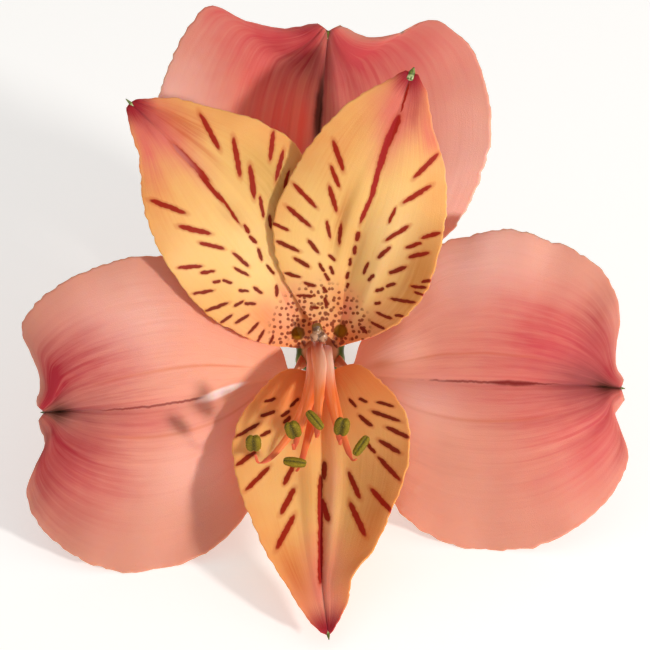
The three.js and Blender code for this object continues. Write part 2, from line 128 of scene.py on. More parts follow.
class InnerColours(bpy.types.PropertyGroup):
    gold: colour("Gold", "Middle of the blade", (230, 188, 118))
    cream: colour("Cream", "The palest parts", (236, 200, 138))
    orange: colour("Orange", "Towards the margin", (216, 140, 76))
    peach: colour("Peach", "The lower part of the upper two", (228, 158, 120))
    pink: colour("Throat pink", "Patches beside the nectar pits", (236, 140, 116))
    ochre: colour("Ochre", "Base of the lower one", (230, 144, 82))
    # Painted shade: the sides that turn from the light, and the valleys beside the ribs, painted darker.
    shade: colour("Dusky ochre", "The turned sides", (190, 126, 62))
    # Painted shadow: the upper right petal's shadow on the upper left one, where they overlap.
    dusk: colour("Dusk", "The soft shade where the upper two overlap", (204, 158, 86))
    blush: colour("Blush", "The end and the rib near it", (214, 108, 102))
    mauve: colour("Mauve", "Round the outer end of the rib's stroke", (196, 112, 100))
    crimson: colour("Crimson", "The drawn-out tip", (160, 34, 46))
    streak: colour("Streaks", "The strokes near the throat", (116, 14, 0))
    ember: colour("Ember", "The strokes further out", (156, 14, 0))
    halo: colour("Halo", "The soft edge of the strokes", (190, 74, 22))
    wine: colour("Wine", "The stroke along the rib", (170, 26, 30))
    pit: colour("Nectar pits", "The two olive pits in the throat", (148, 102, 10))
    pit_rim: colour("Pit rims", "The dark ring round the pits", (126, 74, 10))
    ridge: colour("Pale ridges", "The two raised bands beside the lower rib", (240, 186, 140))


class HeartColours(bpy.types.PropertyGroup):
    filament: colour("Filament", "The stalks of the anthers", (240, 122, 54))
    # Painted highlight: the pale flush stands for the light on the filaments where they leave the throat.
    flush: colour("Pale flush", "Where the filaments leave the throat", (255, 212, 188))
    thread: colour("Thread", "The thin end below the anther", (210, 92, 56))
    anther: colour("Anther", "The pollen sacs", (114, 96, 8))
    groove: colour("Groove", "Between the pollen sacs", (40, 34, 4))
    pollen: colour("Pollen", "The grains on the sacs", (166, 138, 22))
    stigma: colour("Stigma", "The glassy end of the pistil", (184, 142, 112))
    stigma_top: colour("Stigma's upper lobe", "Its olive point", (118, 84, 22))
    stigma_shade: colour("Stigma's shades", "The dusky marks on the stigma", (84, 54, 46))
    style: colour("Style", "The stalk of the stigma", (206, 128, 92))


class GreenColours(bpy.types.PropertyGroup):
    point: colour("Green point", "The hard ends of the petals", (70, 86, 28))
    ovary: colour("Ovary", "The ribbed ovary", (72, 80, 16))
    rib: colour("Ribs", "The ribs' crests", (120, 132, 48))
    stalk: colour("Stalk", "The stalk", (120, 142, 74))
    flush: colour("Flush", "The reddish tinge of the stalk", (150, 92, 70))
    cut: colour("Cut end", "The fresh cut", (196, 206, 150))
    # Painted light: the disc is painted pale to brighten the shaded bottom of the throat.
    disc: colour("Disc", "The ovary's top between the petals", (248, 178, 134))


class StageSettings(bpy.types.PropertyGroup):
    floor: colour("Floor", "The pale floor", (244, 243, 241))
    floor_size: size("Floor size", "Width of the floor", 3000)
    floor_glow: amount("Floor glow", "Light of the floor's own", 0.4)
    key_power: amount("Key light", "Power of the main light", 2.9, subtype="POWER")
    key_width: size("Key width", "Width of the main light", 60)
    key_distance: size("Key distance", "From the bloom to the main light", 600)
    dome: amount("Dome", "Strength of the light all round", 0.5)


# Nodes ------------------------------------------------------------------------


def carries_vector(value):
    if isinstance(value, Wire):
        return value.socket.type in {"VECTOR", "RGBA"}
    return isinstance(value, (tuple, Vector))


def operation(name, output=None, swapped=False):
    """A method of Wire that adds a Math node, or a Vector Math node where a value is a vector."""

    def method(wire, *others):
        values = (*others, wire) if swapped else (wire, *others)
        kind = "VectorMath" if any(map(carries_vector, values)) else "Math"
        return wire.board.add("ShaderNode" + kind, {"operation": name}, dict(enumerate(values)), output)

    return method


class Wire:
    """One output of a node. Arithmetic on it adds the nodes that work it out."""

    def __init__(self, board, node, socket, depth):
        self.board, self.node, self.socket, self.depth = board, node, socket, depth

    __add__ = __radd__ = operation("ADD")
    __sub__, __rsub__ = operation("SUBTRACT"), operation("SUBTRACT", swapped=True)
    __mul__ = __rmul__ = operation("MULTIPLY")
    __truediv__, __rtruediv__ = operation("DIVIDE"), operation("DIVIDE", swapped=True)
    __pow__, __mod__ = operation("POWER"), operation("FLOORED_MODULO")
    __lt__, __gt__ = operation("LESS_THAN"), operation("GREATER_THAN")
    __abs__, root = operation("ABSOLUTE"), operation("SQRT")
    least, most = operation("MINIMUM"), operation("MAXIMUM")
    sine, exponent = operation("SINE"), operation("EXPONENT")
    unit, dot = operation("NORMALIZE"), operation("DOT_PRODUCT", "Value")
    length = operation("LENGTH", "Value")

    def rise(self, low, high):
        """0 below low, 1 above high and smooth between. With low above high it falls."""
        sockets = {"Value": self, "From Min": low, "From Max": high}
        return self.board.add("ShaderNodeMapRange", {"interpolation_type": "SMOOTHSTEP"}, sockets)

    def bell(self, middle, width):
        """1 at middle, falling to both sides."""
        away = (self - middle) * (1 / width)
        return (away * away * -1).exponent()

    def part(self, name):
        """One of a vector's X, Y and Z."""
        return self.board.add("ShaderNodeSeparateXYZ", {}, {0: self}, name)

    def other(self, name):
        """Another output of the same node."""
        return Wire(self.board, self.node, find_socket(self.node.outputs, name), self.depth)


def find_socket(sockets, key):
    if isinstance(key, int):
        return sockets[key]
    return next(socket for socket in sockets if socket.enabled and key in (socket.name, socket.identifier))


class Board:
    """A node tree whose nodes are laid out from left to right."""

    COLUMN, ROW = 190, 150

    def __init__(self, tree):
        self.tree = tree
        self.heights = {}

    def add(self, kind, settings=None, sockets=None, output=None):
        """Adds a node: its settings first, then the values or links of its sockets."""
        node = self.tree.nodes.new(kind)
        for name, value in (settings or {}).items():
            setattr(node, name, value)
        depth = 0
        for key, value in (sockets or {}).items():
            socket = find_socket(node.inputs, key)
            for wire in value if isinstance(value, list) else [value]:
                if isinstance(wire, Wire):
                    self.tree.links.new(wire.socket, socket)
                    depth = max(depth, wire.depth + 1)
                elif socket.type == "RGBA":
                    socket.default_value = (*tuple(wire)[:3], 1)
                elif socket.type == "VECTOR" and isinstance(wire, (int, float)):
                    socket.default_value = (wire, wire, wire)
                else:
                    socket.default_value = wire
        row = self.heights[depth] = self.heights.get(depth, -1) + 1
        node.location = (depth * self.COLUMN, -row * self.ROW)
        if not node.outputs:
            return Wire(self, node, None, depth)
        socket = find_socket(node.outputs, output) if output else next(s for s in node.outputs if s.enabled)
        return Wire(self, node, socket, depth)

    def vector(self, x, y, z):
        return self.add("ShaderNodeCombineXYZ", {}, {"X": x, "Y": y, "Z": z})

    def blend(self, factor, first, second):
        """first where the factor is 0 and second where it is 1, for colours."""
        sockets = {"Factor": factor, "A": first, "B": second}
        return self.add("ShaderNodeMix", {"data_type": "RGBA"}, sockets)

    def noise(self, place, scale, detail=2, roughness=0.5, output=None, **more):
        sockets = {"Vector": place, "Scale": scale, "Detail": detail, "Roughness": roughness, **more}
        settings = {"noise_dimensions": "4D" if "W" in more else "3D"}
        return self.add("ShaderNodeTexNoise", settings, sockets, output)

    def streaks(self, x, y, z, detail=2, roughness=0.5):
        """Noise that is squeezed by another amount each way."""
        return self.noise(self.vector(x, y, z), 1, detail, roughness)

    def cells(self, place, scale, settings=None, **more):
        """The distance to the nearest of many scattered points."""
        sockets = {"Vector": place, "Scale": scale, **more}
        return self.add("ShaderNodeTexVoronoi", settings, sockets, "Distance")

    def oval(self, along, across, place, size, slant=0):
        """A soft oval, 1 in its middle. place: along and across. size: half its reach."""
        ahead = along - place[0]
        aside = across - place[1]
        if slant:
            aside = aside - ahead * slant
        off = self.vector(ahead / size[0], aside / size[1], 0)
        return (off.dot(off) * -1).exponent()


class Finish(Board):
    """A material around one Principled shader. Its base colour is laid on layer by layer."""

    def __init__(self, name, base, **uniform):
        material = bpy.data.materials.new(name)
        material.use_nodes = True
        material.node_tree.nodes.clear()
        super().__init__(material.node_tree)
        self.material, self.base, self.uniform = material, base, uniform

    def paint(self, factor, shade):
        """Lays one colour over the base where the factor is above 0."""
        self.base = self.blend(factor, self.base, shade)

    def spot(self):
        return self.add("ShaderNodeTexCoord", {}, {}, "Object")

    def place(self):
        """The place on the bloom as U, V and W in millimetres."""
        sockets = {"Vector": self.spot(), "Location": tuple(HEART), "Rotation": FACE_TURN, "Scale": (MM,) * 3}
        return self.add("ShaderNodeMapping", {"vector_type": "TEXTURE"}, sockets)

    def attribute(self, name):
        return self.add("ShaderNodeAttribute", {"attribute_name": name}, {}, "Fac")

    def along_and_across(self):
        """Share of the length, and place across from -1 to 1, out of the piece's own map."""
        spread = self.add("ShaderNodeUVMap", {"uv_map": "UVMap"})
        return spread.part("X"), spread.part("Y") * 2 - 1

    def complete(self, roughness=None, height=None, relief=0.06):
        """Ends the material. height goes from 0 to 1 and stands for a relief of that many millimetres."""
        sockets = {"Base Color": self.base, **self.uniform}
        if roughness is not None:
            sockets["Roughness"] = roughness
        if height is not None:
            bump = {"Strength": 1, "Distance": relief * MM, "Height": height}
            sockets["Normal"] = self.add("ShaderNodeBump", {}, bump)
        shader = self.add("ShaderNodeBsdfPrincipled", {}, sockets)
        self.add("ShaderNodeOutputMaterial", {}, {"Surface": shader})
        return self.material


def translucent(weight, radius, depth, specular):
    """Uniform values of a tissue that light enters to a depth in millimetres."""
    return {
        "Subsurface Weight": weight,
        "Subsurface Radius": radius,
        "Subsurface Scale": depth * MM,
        "Specular IOR Level": specular,
    }


class Recipe(Board):
    """A Geometry Nodes tree with named inputs, each given by its default or its kind."""

    KINDS = {bool: "Bool", int: "Int", float: "Float", tuple: "Vector"}

    def __init__(self, name, inputs):
        tree = bpy.data.node_groups.new(name, "GeometryNodeTree")
        super().__init__(tree)
        for label, default in inputs.items():
            kind = self.KINDS.get(type(default), default)
            socket = tree.interface.new_socket(label, in_out="INPUT", socket_type="NodeSocket" + kind)
            if kind != default:
                socket.default_value = default
        tree.interface.new_socket("Geometry", in_out="OUTPUT", socket_type="NodeSocketGeometry")
        self.inputs = self.add("NodeGroupInput")
        self.position = self.add("GeometryNodeInputPosition")

    def __getitem__(self, label):
        return self.inputs.other(label)

    def sample(self, source, value, index, kind="FLOAT_VECTOR"):
        sockets = {"Geometry": source, "Value": value, "Index": index}
        return self.add("GeometryNodeSampleIndex", {"data_type": kind}, sockets)

    def named(self, name, kind="FLOAT_VECTOR"):
        return self.add("GeometryNodeInputNamedAttribute", {"data_type": kind}, {"Name": name})

    def store(self, geometry, name, value, kind="FLOAT", domain="POINT"):
        settings = {"data_type": kind, "domain": domain}
        sockets = {"Geometry": geometry, "Name": name, "Value": value}
        return self.add("GeometryNodeStoreNamedAttribute", settings, sockets)

    def move(self, geometry, **where):
        """Gives the points a Position, or moves them by an Offset."""
        return self.add("GeometryNodeSetPosition", {}, {"Geometry": geometry, **where})

    def flipped(self, mesh):
        return self.add("GeometryNodeFlipFaces", {}, {"Mesh": mesh})

    def in_row(self, geometry):
        """Turned from the bloom's own frame into the row's."""
        sockets = {"Geometry": geometry, "Translation": tuple(HEART), "Rotation": FACE_TURN}
        return self.add("GeometryNodeTransform", {}, sockets)

    def grid(self, rows, columns):
        """A sheet, with the number of the row and the share of the way across of each point."""
        sockets = {"Size X": 1, "Size Y": 1, "Vertices X": rows + 1, "Vertices Y": columns + 1}
        sheet = self.add("GeometryNodeMeshGrid", {}, sockets)
        index = self.add("GeometryNodeInputIndex")
        column = index % (columns + 1)
        row = (index - column) / (columns + 1)
        return sheet, row, column / columns

    def mapped(self, geometry, along, across):
        """The piece's own map, along and across from 0 to 1."""
        pointed = self.store(geometry, "spread", self.vector(along, across, 0), "FLOAT_VECTOR")
        return self.store(pointed, "UVMap", self.named("spread"), "FLOAT2", "CORNER")

    def end(self, geometry, weld=0.002 * MM):
        """Closes the seams and keeps everything on or above the floor."""
        welded = self.add("GeometryNodeMergeByDistance", {}, {"Geometry": geometry, "Distance": weld})
        x, y, z = (self.position.part(axis) for axis in "XYZ")
        above = self.move(welded, Position=self.vector(x, y, z.most(0)))
        smooth = self.add("GeometryNodeSetShadeSmooth", {}, {"Geometry": above, "Shade Smooth": True})
        return self.dress(smooth)

    def dress(self, geometry):
        """Ends the tree with real geometry in the given material."""
        real = self.add("GeometryNodeRealizeInstances", {}, {"Geometry": geometry})
        dressed = self.add("GeometryNodeSetMaterial", {}, {"Geometry": real, "Material": self["Material"]})
        self.add("NodeGroupOutput", {}, {"Geometry": dressed})
        return self.tree


# Pieces -----------------------------------------------------------------------


def add_object(name, data):
    item = bpy.data.objects.new(name, data)
    bpy.context.scene.collection.objects.link(item)
    return item


def as_plain(name, carrier):
    """Keeps what an object's modifiers make of it as a piece with a plain mesh."""
    graph = bpy.context.evaluated_depsgraph_get()
    mesh = bpy.data.meshes.new_from_object(carrier.evaluated_get(graph), depsgraph=graph)
    bpy.data.objects.remove(carrier)
    mesh.name = name
    return add_object(name, mesh)


def grow(name, guide, tree, values):
    """Runs a tree on a guide mesh."""
    carrier = add_object(name + "_guide", guide)
    modifier = carrier.modifiers.new("grow", "NODES")
    modifier.node_group = tree
    convert = {"NodeSocketFloat": float, "NodeSocketVector": lambda value: [float(part) for part in value]}
    for item in tree.interface.items_tree:
        if item.in_out == "INPUT" and item.name in values:
            value = values[item.name]
            modifier[item.identifier] = convert.get(item.socket_type, lambda same: same)(value)
    piece = as_plain(name, carrier)
    bpy.data.meshes.remove(guide)
    if piece.data.materials[0] is None:
        piece.data.materials.pop(index=0)
    return piece


def settle(piece, slot, *nodes):
    """Lets a finished piece ride with the flower and stand for its nodes."""
    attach(piece, "root")
    if nodes:
        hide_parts(*nodes)


def guide_mesh(name, points, **attributes):
    """Loose points that carry numbers or vectors."""
    mesh = bpy.data.meshes.new(name)
    mesh.from_pydata(points, [], [])
    for key, values in attributes.items():
        if isinstance(values[0], Vector):
            layer = mesh.attributes.new(key, "FLOAT_VECTOR", "POINT")
            layer.data.foreach_set("vector", [part for value in values for part in value])
        else:
            mesh.attributes.new(key, "FLOAT", "POINT").data.foreach_set("value", values)
    return mesh


# Curves -----------------------------------------------------------------------


class Curve:
    """A centripetal Catmull-Rom curve through points, as close samples."""

    PER_SPAN = 40

    def __init__(self, points):
        ends = [2 * points[0] - points[1], *points, 2 * points[-1] - points[-2]]
        self.samples = []
        for before, start, end, after in zip(ends, ends[1:], ends[2:], ends[3:]):
            knots = ((before, start), (start, end), (end, after))
            first, span, last = ((b - a).length ** 0.5 for a, b in knots)
            chord = end - start
            leave = ((start - before) / first - (end - before) / (first + span) + chord / span) * span
            arrive = (chord / span - (after - start) / (span + last) + (after - end) / last) * span
            for i in range(self.PER_SPAN):
                x = i / self.PER_SPAN
                bend = (3 * chord - 2 * leave - arrive) * x**2 + (leave + arrive - 2 * chord) * x**3
                self.samples.append(start + leave * x + bend)
        self.samples.append(points[-1])
        self.lengths = [0]
        for a, b in zip(self.samples, self.samples[1:]):
            self.lengths.append(self.lengths[-1] + (b - a).length)
        self.length = self.lengths[-1]

    def at(self, targets):
        """The points at the lengths in targets, which rise."""
        points, i = [], 1
        for target in targets:
            while i < len(self.samples) - 1 and self.lengths[i] < target:
                i += 1
            part = (target - self.lengths[i - 1]) / (self.lengths[i] - self.lengths[i - 1])
            points.append(self.samples[i - 1].lerp(self.samples[i], within(part, 0, 1)))
        return points


def within(value, low, high):
    return min(max(value, low), high)


def smoothstep(value, low, high):
    x = within((value - low) / (high - low), 0, 1)
    return x * x * (3 - 2 * x)


def around(bearing, radius, w=0):
    """A point in the bloom's own frame, by its bearing in degrees and its distance from the axis."""
    angle = math.radians(bearing)
    return Vector((radius * math.cos(angle), radius * math.sin(angle), w))


# Petals -----------------------------------------------------------------------

# rib, left, right: U, V and W along the rib and both edges. folds: along, across, half the length,
# half the width and the height of the soft folds. ruffle: height, waves and start of its waves.
PETALS = {
    "outer_petal_left": dict(
        whorl="outer", bearing=210,
        rib=[(-4.3, -3, -12.8), (-7.9, -3.8, -9.2), (-12.7, -5.2, -6), (-19.3, -6.4, -3.2),
             (-25.9, -7, -1.8), (-30.1, -7.1, -2.2), (-33.3, -7.3, -3.6)],
        left=[(-4.5, -4.1, -12.4), (-5.6, -7.2, -9.6), (-6.9, -12.5, -7), (-8.8, -19.4, -4.8),
              (-12.7, -23.5, -3.4), (-17.5, -25.9, -3.1), (-22.3, -26.6, -2.9), (-26.5, -25.9, -2.7),
              (-31.1, -23.6, -2.4), (-34.3, -20.2, -2.2), (-35.4, -16.9, -2.2), (-34.3, -14, -2),
              (-33.1, -11.3, -2), (-34, -8.3, -2.8)],
        right=[(-3.9, -2.2, -12.8), (-4.8, 0.4, -11.6), (-7.9, 3.9, -10), (-11.9, 8.2, -7.6),
               (-15.7, 10.9, -5.8), (-20.5, 11.6, -4), (-25.9, 10.6, -2.4), (-31.1, 8.3, -2),
               (-34.4, 5.6, -2.2), (-36, 2.9, -2.4), (-34.9, 0, -2.2), (-33.7, -3.1, -2.2),
               (-34.2, -6.4, -2.8)],
        crease=0.25, arch=0.9, ruffle=(0.45, 4, 0.6),
        folds=[(0.9, 0.3, 0.1, 0.06, -0.25), (0.9, -0.25, 0.1, 0.06, -0.25),
               (0.7, 0, 0.3, 0.05, -0.2), (0.62, 0.2, 0.25, 0.05, -0.12)],
    ),
    "outer_petal_right": dict(
        whorl="outer", bearing=330,
        rib=[(4.4, -2.6, -13), (7.3, -3, -9.8), (12.1, -3.4, -6.8), (18.7, -3.6, -4.2),
             (25.3, -3.8, -2.8), (31.4, -4, -3.2), (36.4, -4.4, -4.6)],
        left=[(4.1, -1.5, -12.8), (5, 1.2, -11.8), (7.3, 4.3, -10), (10.7, 8.7, -7.6),
              (14.9, 13.2, -5.4), (18.7, 14.2, -4), (22.5, 14.8, -3), (27.1, 13.6, -2.8),
              (31.6, 11.8, -2.8), (34.7, 8.9, -3), (36.2, 4.8, -3.2), (35.7, 0.8, -3), (35.7, -1.7, -3),
              (36.7, -3.3, -3.6)],
        right=[(4.7, -3.8, -12.6), (5.8, -6.9, -10), (7.3, -12.2, -8.2), (9.3, -19, -6.6),
               (13.3, -22.2, -6), (17.9, -23.9, -5.8), (23, -24.1, -5.6), (27.8, -23, -5),
               (32.4, -20.2, -4.4), (35.6, -16.8, -4), (37.2, -12.8, -3.6), (36.2, -9.5, -3.2),
               (35.5, -7.7, -3.2), (36.8, -5.8, -3.8)],
        crease=0.25, arch=0.9, ruffle=(0.45, 4, 2.4),
        folds=[(0.65, 0.235, 0.25, 0.035, -0.15), (0.65, -0.19, 0.25, 0.035, -0.15),
               (0.7, 0, 0.25, 0.03, -0.25), (0.85, 0.45, 0.12, 0.08, -0.25)],
    ),
    "outer_petal_top": dict(
        whorl="outer", bearing=90,
        rib=[(-0.1, 3.3, -15.5), (-0.3, 6.5, -13.9), (-0.4, 13.7, -13.2), (-0.4, 21, -13),
             (-0.1, 28.3, -12.6), (0.4, 33.9, -11.8), (1, 39.1, -10)],
        left=[(-1.4, 3, -14.6), (-5.5, 6.3, -13.2), (-10.8, 12.2, -11.6), (-15.8, 17.9, -10.8),
              (-18.9, 24.6, -10.2), (-19.8, 30, -9.6), (-18.6, 34.6, -9.2), (-16.5, 38.8, -9),
              (-13.5, 42.1, -9), (-9.3, 40.4, -9), (-4.2, 39.4, -9.2), (-0.4, 40.1, -9.6)],
        right=[(1.1, 3, -14.6), (4.9, 6.3, -13.2), (10.4, 10.6, -11.2), (15.5, 14, -10.2),
               (18.9, 19.4, -9.6), (20.7, 25.8, -9), (20.3, 32.1, -8.6), (18.2, 37.3, -8.6),
               (13.6, 40.4, -8.8), (9.8, 38.8, -9), (6, 38.3, -9.2), (2.4, 39.8, -9.6)],
        crease=0.9, arch=0.9, ruffle=(0.45, 3.5, 1.2),
        folds=[(0.8, 0.02, 0.13, 0.05, -0.6), (0.82, -0.1, 0.2, 0.05, 0.25),
               (0.82, -0.2, 0.2, 0.05, -0.3), (0.82, -0.3, 0.2, 0.05, 0.3),
               (0.82, -0.4, 0.2, 0.06, -0.25), (0.85, 0.2, 0.12, 0.06, -0.2)],
    ),
    "inner_petal_upper_left": dict(
        whorl="inner", bearing=150,
        rib=[(-2.5, 1.8, -13), (-3.7, 4.8, -9.2), (-5.6, 8.9, -6), (-8, 13.1, -3.4), (-11.8, 17.7, -1.6),
             (-16.2, 23.1, -0.4), (-20.2, 27.4, 0.2), (-22.8, 29.9, 0.2)],
        left=[(-3.7, 0.5, -11), (-6.3, 0.8, -8), (-9.7, 2.1, -5.2), (-13.9, 4.8, -2.8), (-17.6, 9.3, -1),
              (-20, 13.7, -0.3), (-21.3, 18.3, -0.2), (-21.8, 23.6, 0), (-22.8, 26.9, 0.2),
              (-23.3, 29.2, 0.4)],
        right=[(-1, 2.2, -11.6), (-1.3, 6.3, -9), (-1, 10.9, -6.6), (-0.5, 15.7, -4.8),
               (-1, 20.8, -3.2), (-2.7, 24.7, -2.2), (-7, 27.6, -1.5), (-12.6, 29.3, -0.8),
               (-18.2, 30.5, 0), (-22.1, 30.3, 0.4)],
        crease=0.5, arch=0.2, ruffle=(0.25, 3, 0), pit=(-2.7, 2.2),
        folds=[(0.85, 0.5, 0.12, 0.12, -0.3), (0.6, 0, 0.3, 0.06, -0.2)],
    ),
    "inner_petal_upper_right": dict(
        whorl="inner", bearing=30,
        rib=[(2.2, 2.3, -13), (2.8, 5.3, -8.8), (3.1, 8.7, -5.4), (4, 13, -2.6), (5.8, 18.5, -0.4),
             (7.7, 24.4, 0.9), (9.6, 29.6, 1.6), (11, 33.4, 1.8)],
        left=[(1, 1.8, -11.5), (-1.1, 3.7, -9.2), (-3.2, 6.9, -6.8), (-5.3, 11.3, -3.7),
              (-5.5, 16.5, -1.5), (-3.5, 21.1, -0.6), (-0.4, 26, 0.6), (3.8, 30.1, 1.4),
              (8.2, 32.6, 1.8), (10.3, 33.7, 2)],
        right=[(3.4, 0.9, -11), (6.6, 1.9, -6.8), (9.9, 3.8, -2.8), (12.7, 7.3, 0.2), (14.4, 12, 0.4),
               (15.2, 17.6, -0.2), (14.9, 22.4, 0.4), (13.5, 27.2, 1.2), (12.9, 30.5, 1.7),
               (11.8, 33.2, 2)],
        crease=0.5, arch=0.2, ruffle=(0.25, 3, 2.6), pit=(2.5, 2.5),
        folds=[(0.46, 0.38, 0.14, 0.1, 0.35), (0.5, 0.07, 0.12, 0.08, -0.35),
               (0.58, -0.22, 0.1, 0.06, -0.3)],
    ),
    "inner_petal_lower": dict(
        whorl="inner", bearing=270,
        rib=[(0.1, -2.8, -13), (0.1, -5.7, -9.2), (0.1, -9.5, -5.8), (0.2, -14.2, -3), (0.2, -19.5, 0.2),
             (0.1, -24.8, 3.5), (0.4, -29.4, 6.6), (1, -33.5, 9)],
        left=[(1.7, -2.3, -11.4), (4.5, -1.5, -8.6), (8, -4.2, -5), (10.3, -7.3, -2.7), (10.8, -11, -0.5),
              (10.2, -14.9, 2), (8.6, -18.8, 3.8), (6.5, -23.4, 5.3), (4, -26.4, 6.5), (3.2, -29.9, 7.8),
              (1.5, -33, 9.1)],
        right=[(-1.4, -2.5, -11.4), (-4, -2.1, -8.6), (-7.5, -5, -4.8), (-9.9, -8.5, -2.3),
               (-10.5, -12, -0.2), (-9.8, -15.6, 2.1), (-8.4, -19.6, 4.2), (-6.2, -24.1, 6.3),
               (-3.5, -28.4, 7.9), (-1.6, -31.3, 8.9), (0.1, -33.1, 9.4)],
        crease=0.8, arch=0, ruffle=(0.2, 3, 1),
        folds=[(0.62, 0.15, 0.22, 0.09, 0.6), (0.62, -0.15, 0.22, 0.09, 0.6),
               (0.65, 0, 0.25, 0.05, -0.3)],
    ),
}

MOST_FOLDS = 6
DRY_END = (0.03, 0.02, 0.01)  # colour of the outermost tip of a green point
PIT = {"radius": 0.75 * MM, "depth": 0.35 * MM}
MARGIN_ROLL = 0.25 * MM  # how far in from its margin a blade is rounded off
FULL_REACH = 9 * MM  # from the rib to the margin, where the veins stand out in full
NIBBLE_SCALE, COCKLE_SCALE = 900, 130  # how often the noise of each swings, to the metre

# The green points of each whorl, and of two petals that differ: length, radius and how far they
# turn out of the face.
GREEN_POINTS = {
    "outer": (1.5, 0.27, -0.4),
    "inner": (1.5, 0.27, 0.3),
    "inner_petal_upper_right": (1.5, 0.58, 0.3),
    "outer_petal_top": (1.1, 0.45, 0.9),
}


def by_share(points, rows):
    """Points of the curve at even shares of a petal's length, whose claw is the first span."""
    curve = Curve(points)
    claw = curve.lengths[Curve.PER_SPAN]
    blade = (curve.length - claw) / (1 - CLAW_SHARE)
    shares = [row / rows for row in range(rows + 1)]
    return curve.at(
        share / CLAW_SHARE * claw if share <= CLAW_SHARE else claw + (share - CLAW_SHARE) * blade
        for share in shares
    )


def petal_guides(shape, rows):
    """The rib and both edges, one after the other, in metres. They start on the ovary's rim."""
    bearing = shape["bearing"]
    foot = around(bearing, FOOT_RADIUS[shape["whorl"]], SEAT)
    rightward = around(bearing - 90, FOOT_HALF_WIDTH)
    points = []
    for line, start in (("rib", foot), ("left", foot - rightward), ("right", foot + rightward)):
        points += by_share([Vector(point) * MM for point in (start, *shape[line])], rows)
    return points


def petal_recipe():
    folds = [f"Fold {number} " for number in range(1, MOST_FOLDS + 1)]
    inputs = {"Guides": "Geometry", "Material": "Material", "Rows": 150, "Columns": 100}
    inputs |= {fold + "place": (0, 0, 0) for fold in folds} | {fold + "size": (1, 1, 0) for fold in folds}
    inputs |= {"Crease": 0.5, "Arch": 0.0, "Ruffle": 0.0, "Waves": 3.0, "Wave start": 0.0, "Seed": 0.0}
    inputs |= {"Rib thickness": 0.5 * MM, "Margin thickness": 0.26 * MM, "Vein relief": 0.035 * MM}
    inputs |= {"Nibble": 0.2 * MM, "Cockle": 0.25 * MM, "Pit": (0, 0, 0), "Pit depth": 0.0}
    recipe = Recipe("petal_blade", inputs)
    rows, seed, position = recipe["Rows"], recipe["Seed"], recipe.position
    sheet, row, share_across = recipe.grid(rows, recipe["Columns"])
    along = row / rows
    even = 1 - share_across * 2
    across = even * (1.25 - even * even * 0.25)  # closer together near the margins
    out = abs(across)
    left_half = across < 0

    def guide(index):
        return recipe.sample(recipe["Guides"], position, index)

    pick = row + 0.5
    middle = guide(pick)
    edge = guide(pick + (rows + 1) * (2 - left_half))
    reach = edge - middle

    blade = along.rise(CLAW_SHARE, CLAW_SHARE + 0.2)
    notches = recipe.noise(edge, NIBBLE_SCALE, 2, W=seed) - 0.5
    flat = middle + reach * out + reach.unit() * (notches * 2 * recipe["Nibble"] * out**8 * blade)

    softened = (1 - recipe["Crease"]) * reach.part("Z") * (out * out - out)
    bulge = recipe["Arch"] * out * (1 - out) * 4 * blade
    turn = along * recipe["Waves"] * (2 * math.pi) + recipe["Wave start"] + left_half * 2
    wave = recipe["Ruffle"] * out**3 * (turn.sine() + (turn * 2.7 + 1).sine() * 0.3)
    fade = blade * along.rise(1, 0.85)
    folded = 0
    for fold in folds:
        place, size = ([recipe[fold + name].part(axis) for axis in "XYZ"] for name in ("place", "size"))
        folded = recipe.oval(along, across, place, size) * size[2] + folded
    swing = (recipe.noise(flat, COCKLE_SCALE, 1, W=seed) - 0.5) * 2
    cockle = swing * recipe["Cockle"] * blade * out
    lines = recipe.streaks(along * 2.5, across * 7, seed) - 0.5
    wide = (reach.length() * (1 / FULL_REACH)).least(1)
    veins = lines * 2 * recipe["Vein relief"] * blade * wide * (1 - out**4)
    dip = (flat - recipe["Pit"]) * (1, 1, 0) / PIT["radius"]
    pit = (dip.dot(dip) * -1).exponent() * recipe["Pit depth"]
    height = softened + bulge + wave * fade + folded * blade + cockle + veins - pit
    shaped = recipe.move(sheet, Position=flat + recipe.vector(0, 0, height))
    mapped = recipe.mapped(shaped, along, (across + 1) * 0.5)
    skin = recipe.store(mapped, "tip_distance", (position - guide(rows)).length())

    from_margin = (1 - out) * reach.length() / MARGIN_ROLL
    from_ends = along.least(1 - along) * rows * 0.7
    inside = from_margin.least(from_ends).most(0).least(1)
    rounded = (inside * (2 - inside)).root()
    thin = out.rise(0, 0.9)
    thickness = recipe["Rib thickness"] * (1 - thin) + recipe["Margin thickness"] * thin
    half = recipe.add("GeometryNodeInputNormal") * (thickness * rounded * 0.5)
    front = recipe.store(recipe.move(skin, Offset=half), "front", 1.0, domain="FACE")
    back = recipe.store(recipe.move(skin, Offset=half * -1), "front", 0.0, domain="FACE")
    both = recipe.add("GeometryNodeJoinGeometry", {}, {"Geometry": [front, recipe.flipped(back)]})
    return recipe.end(recipe.in_row(both))


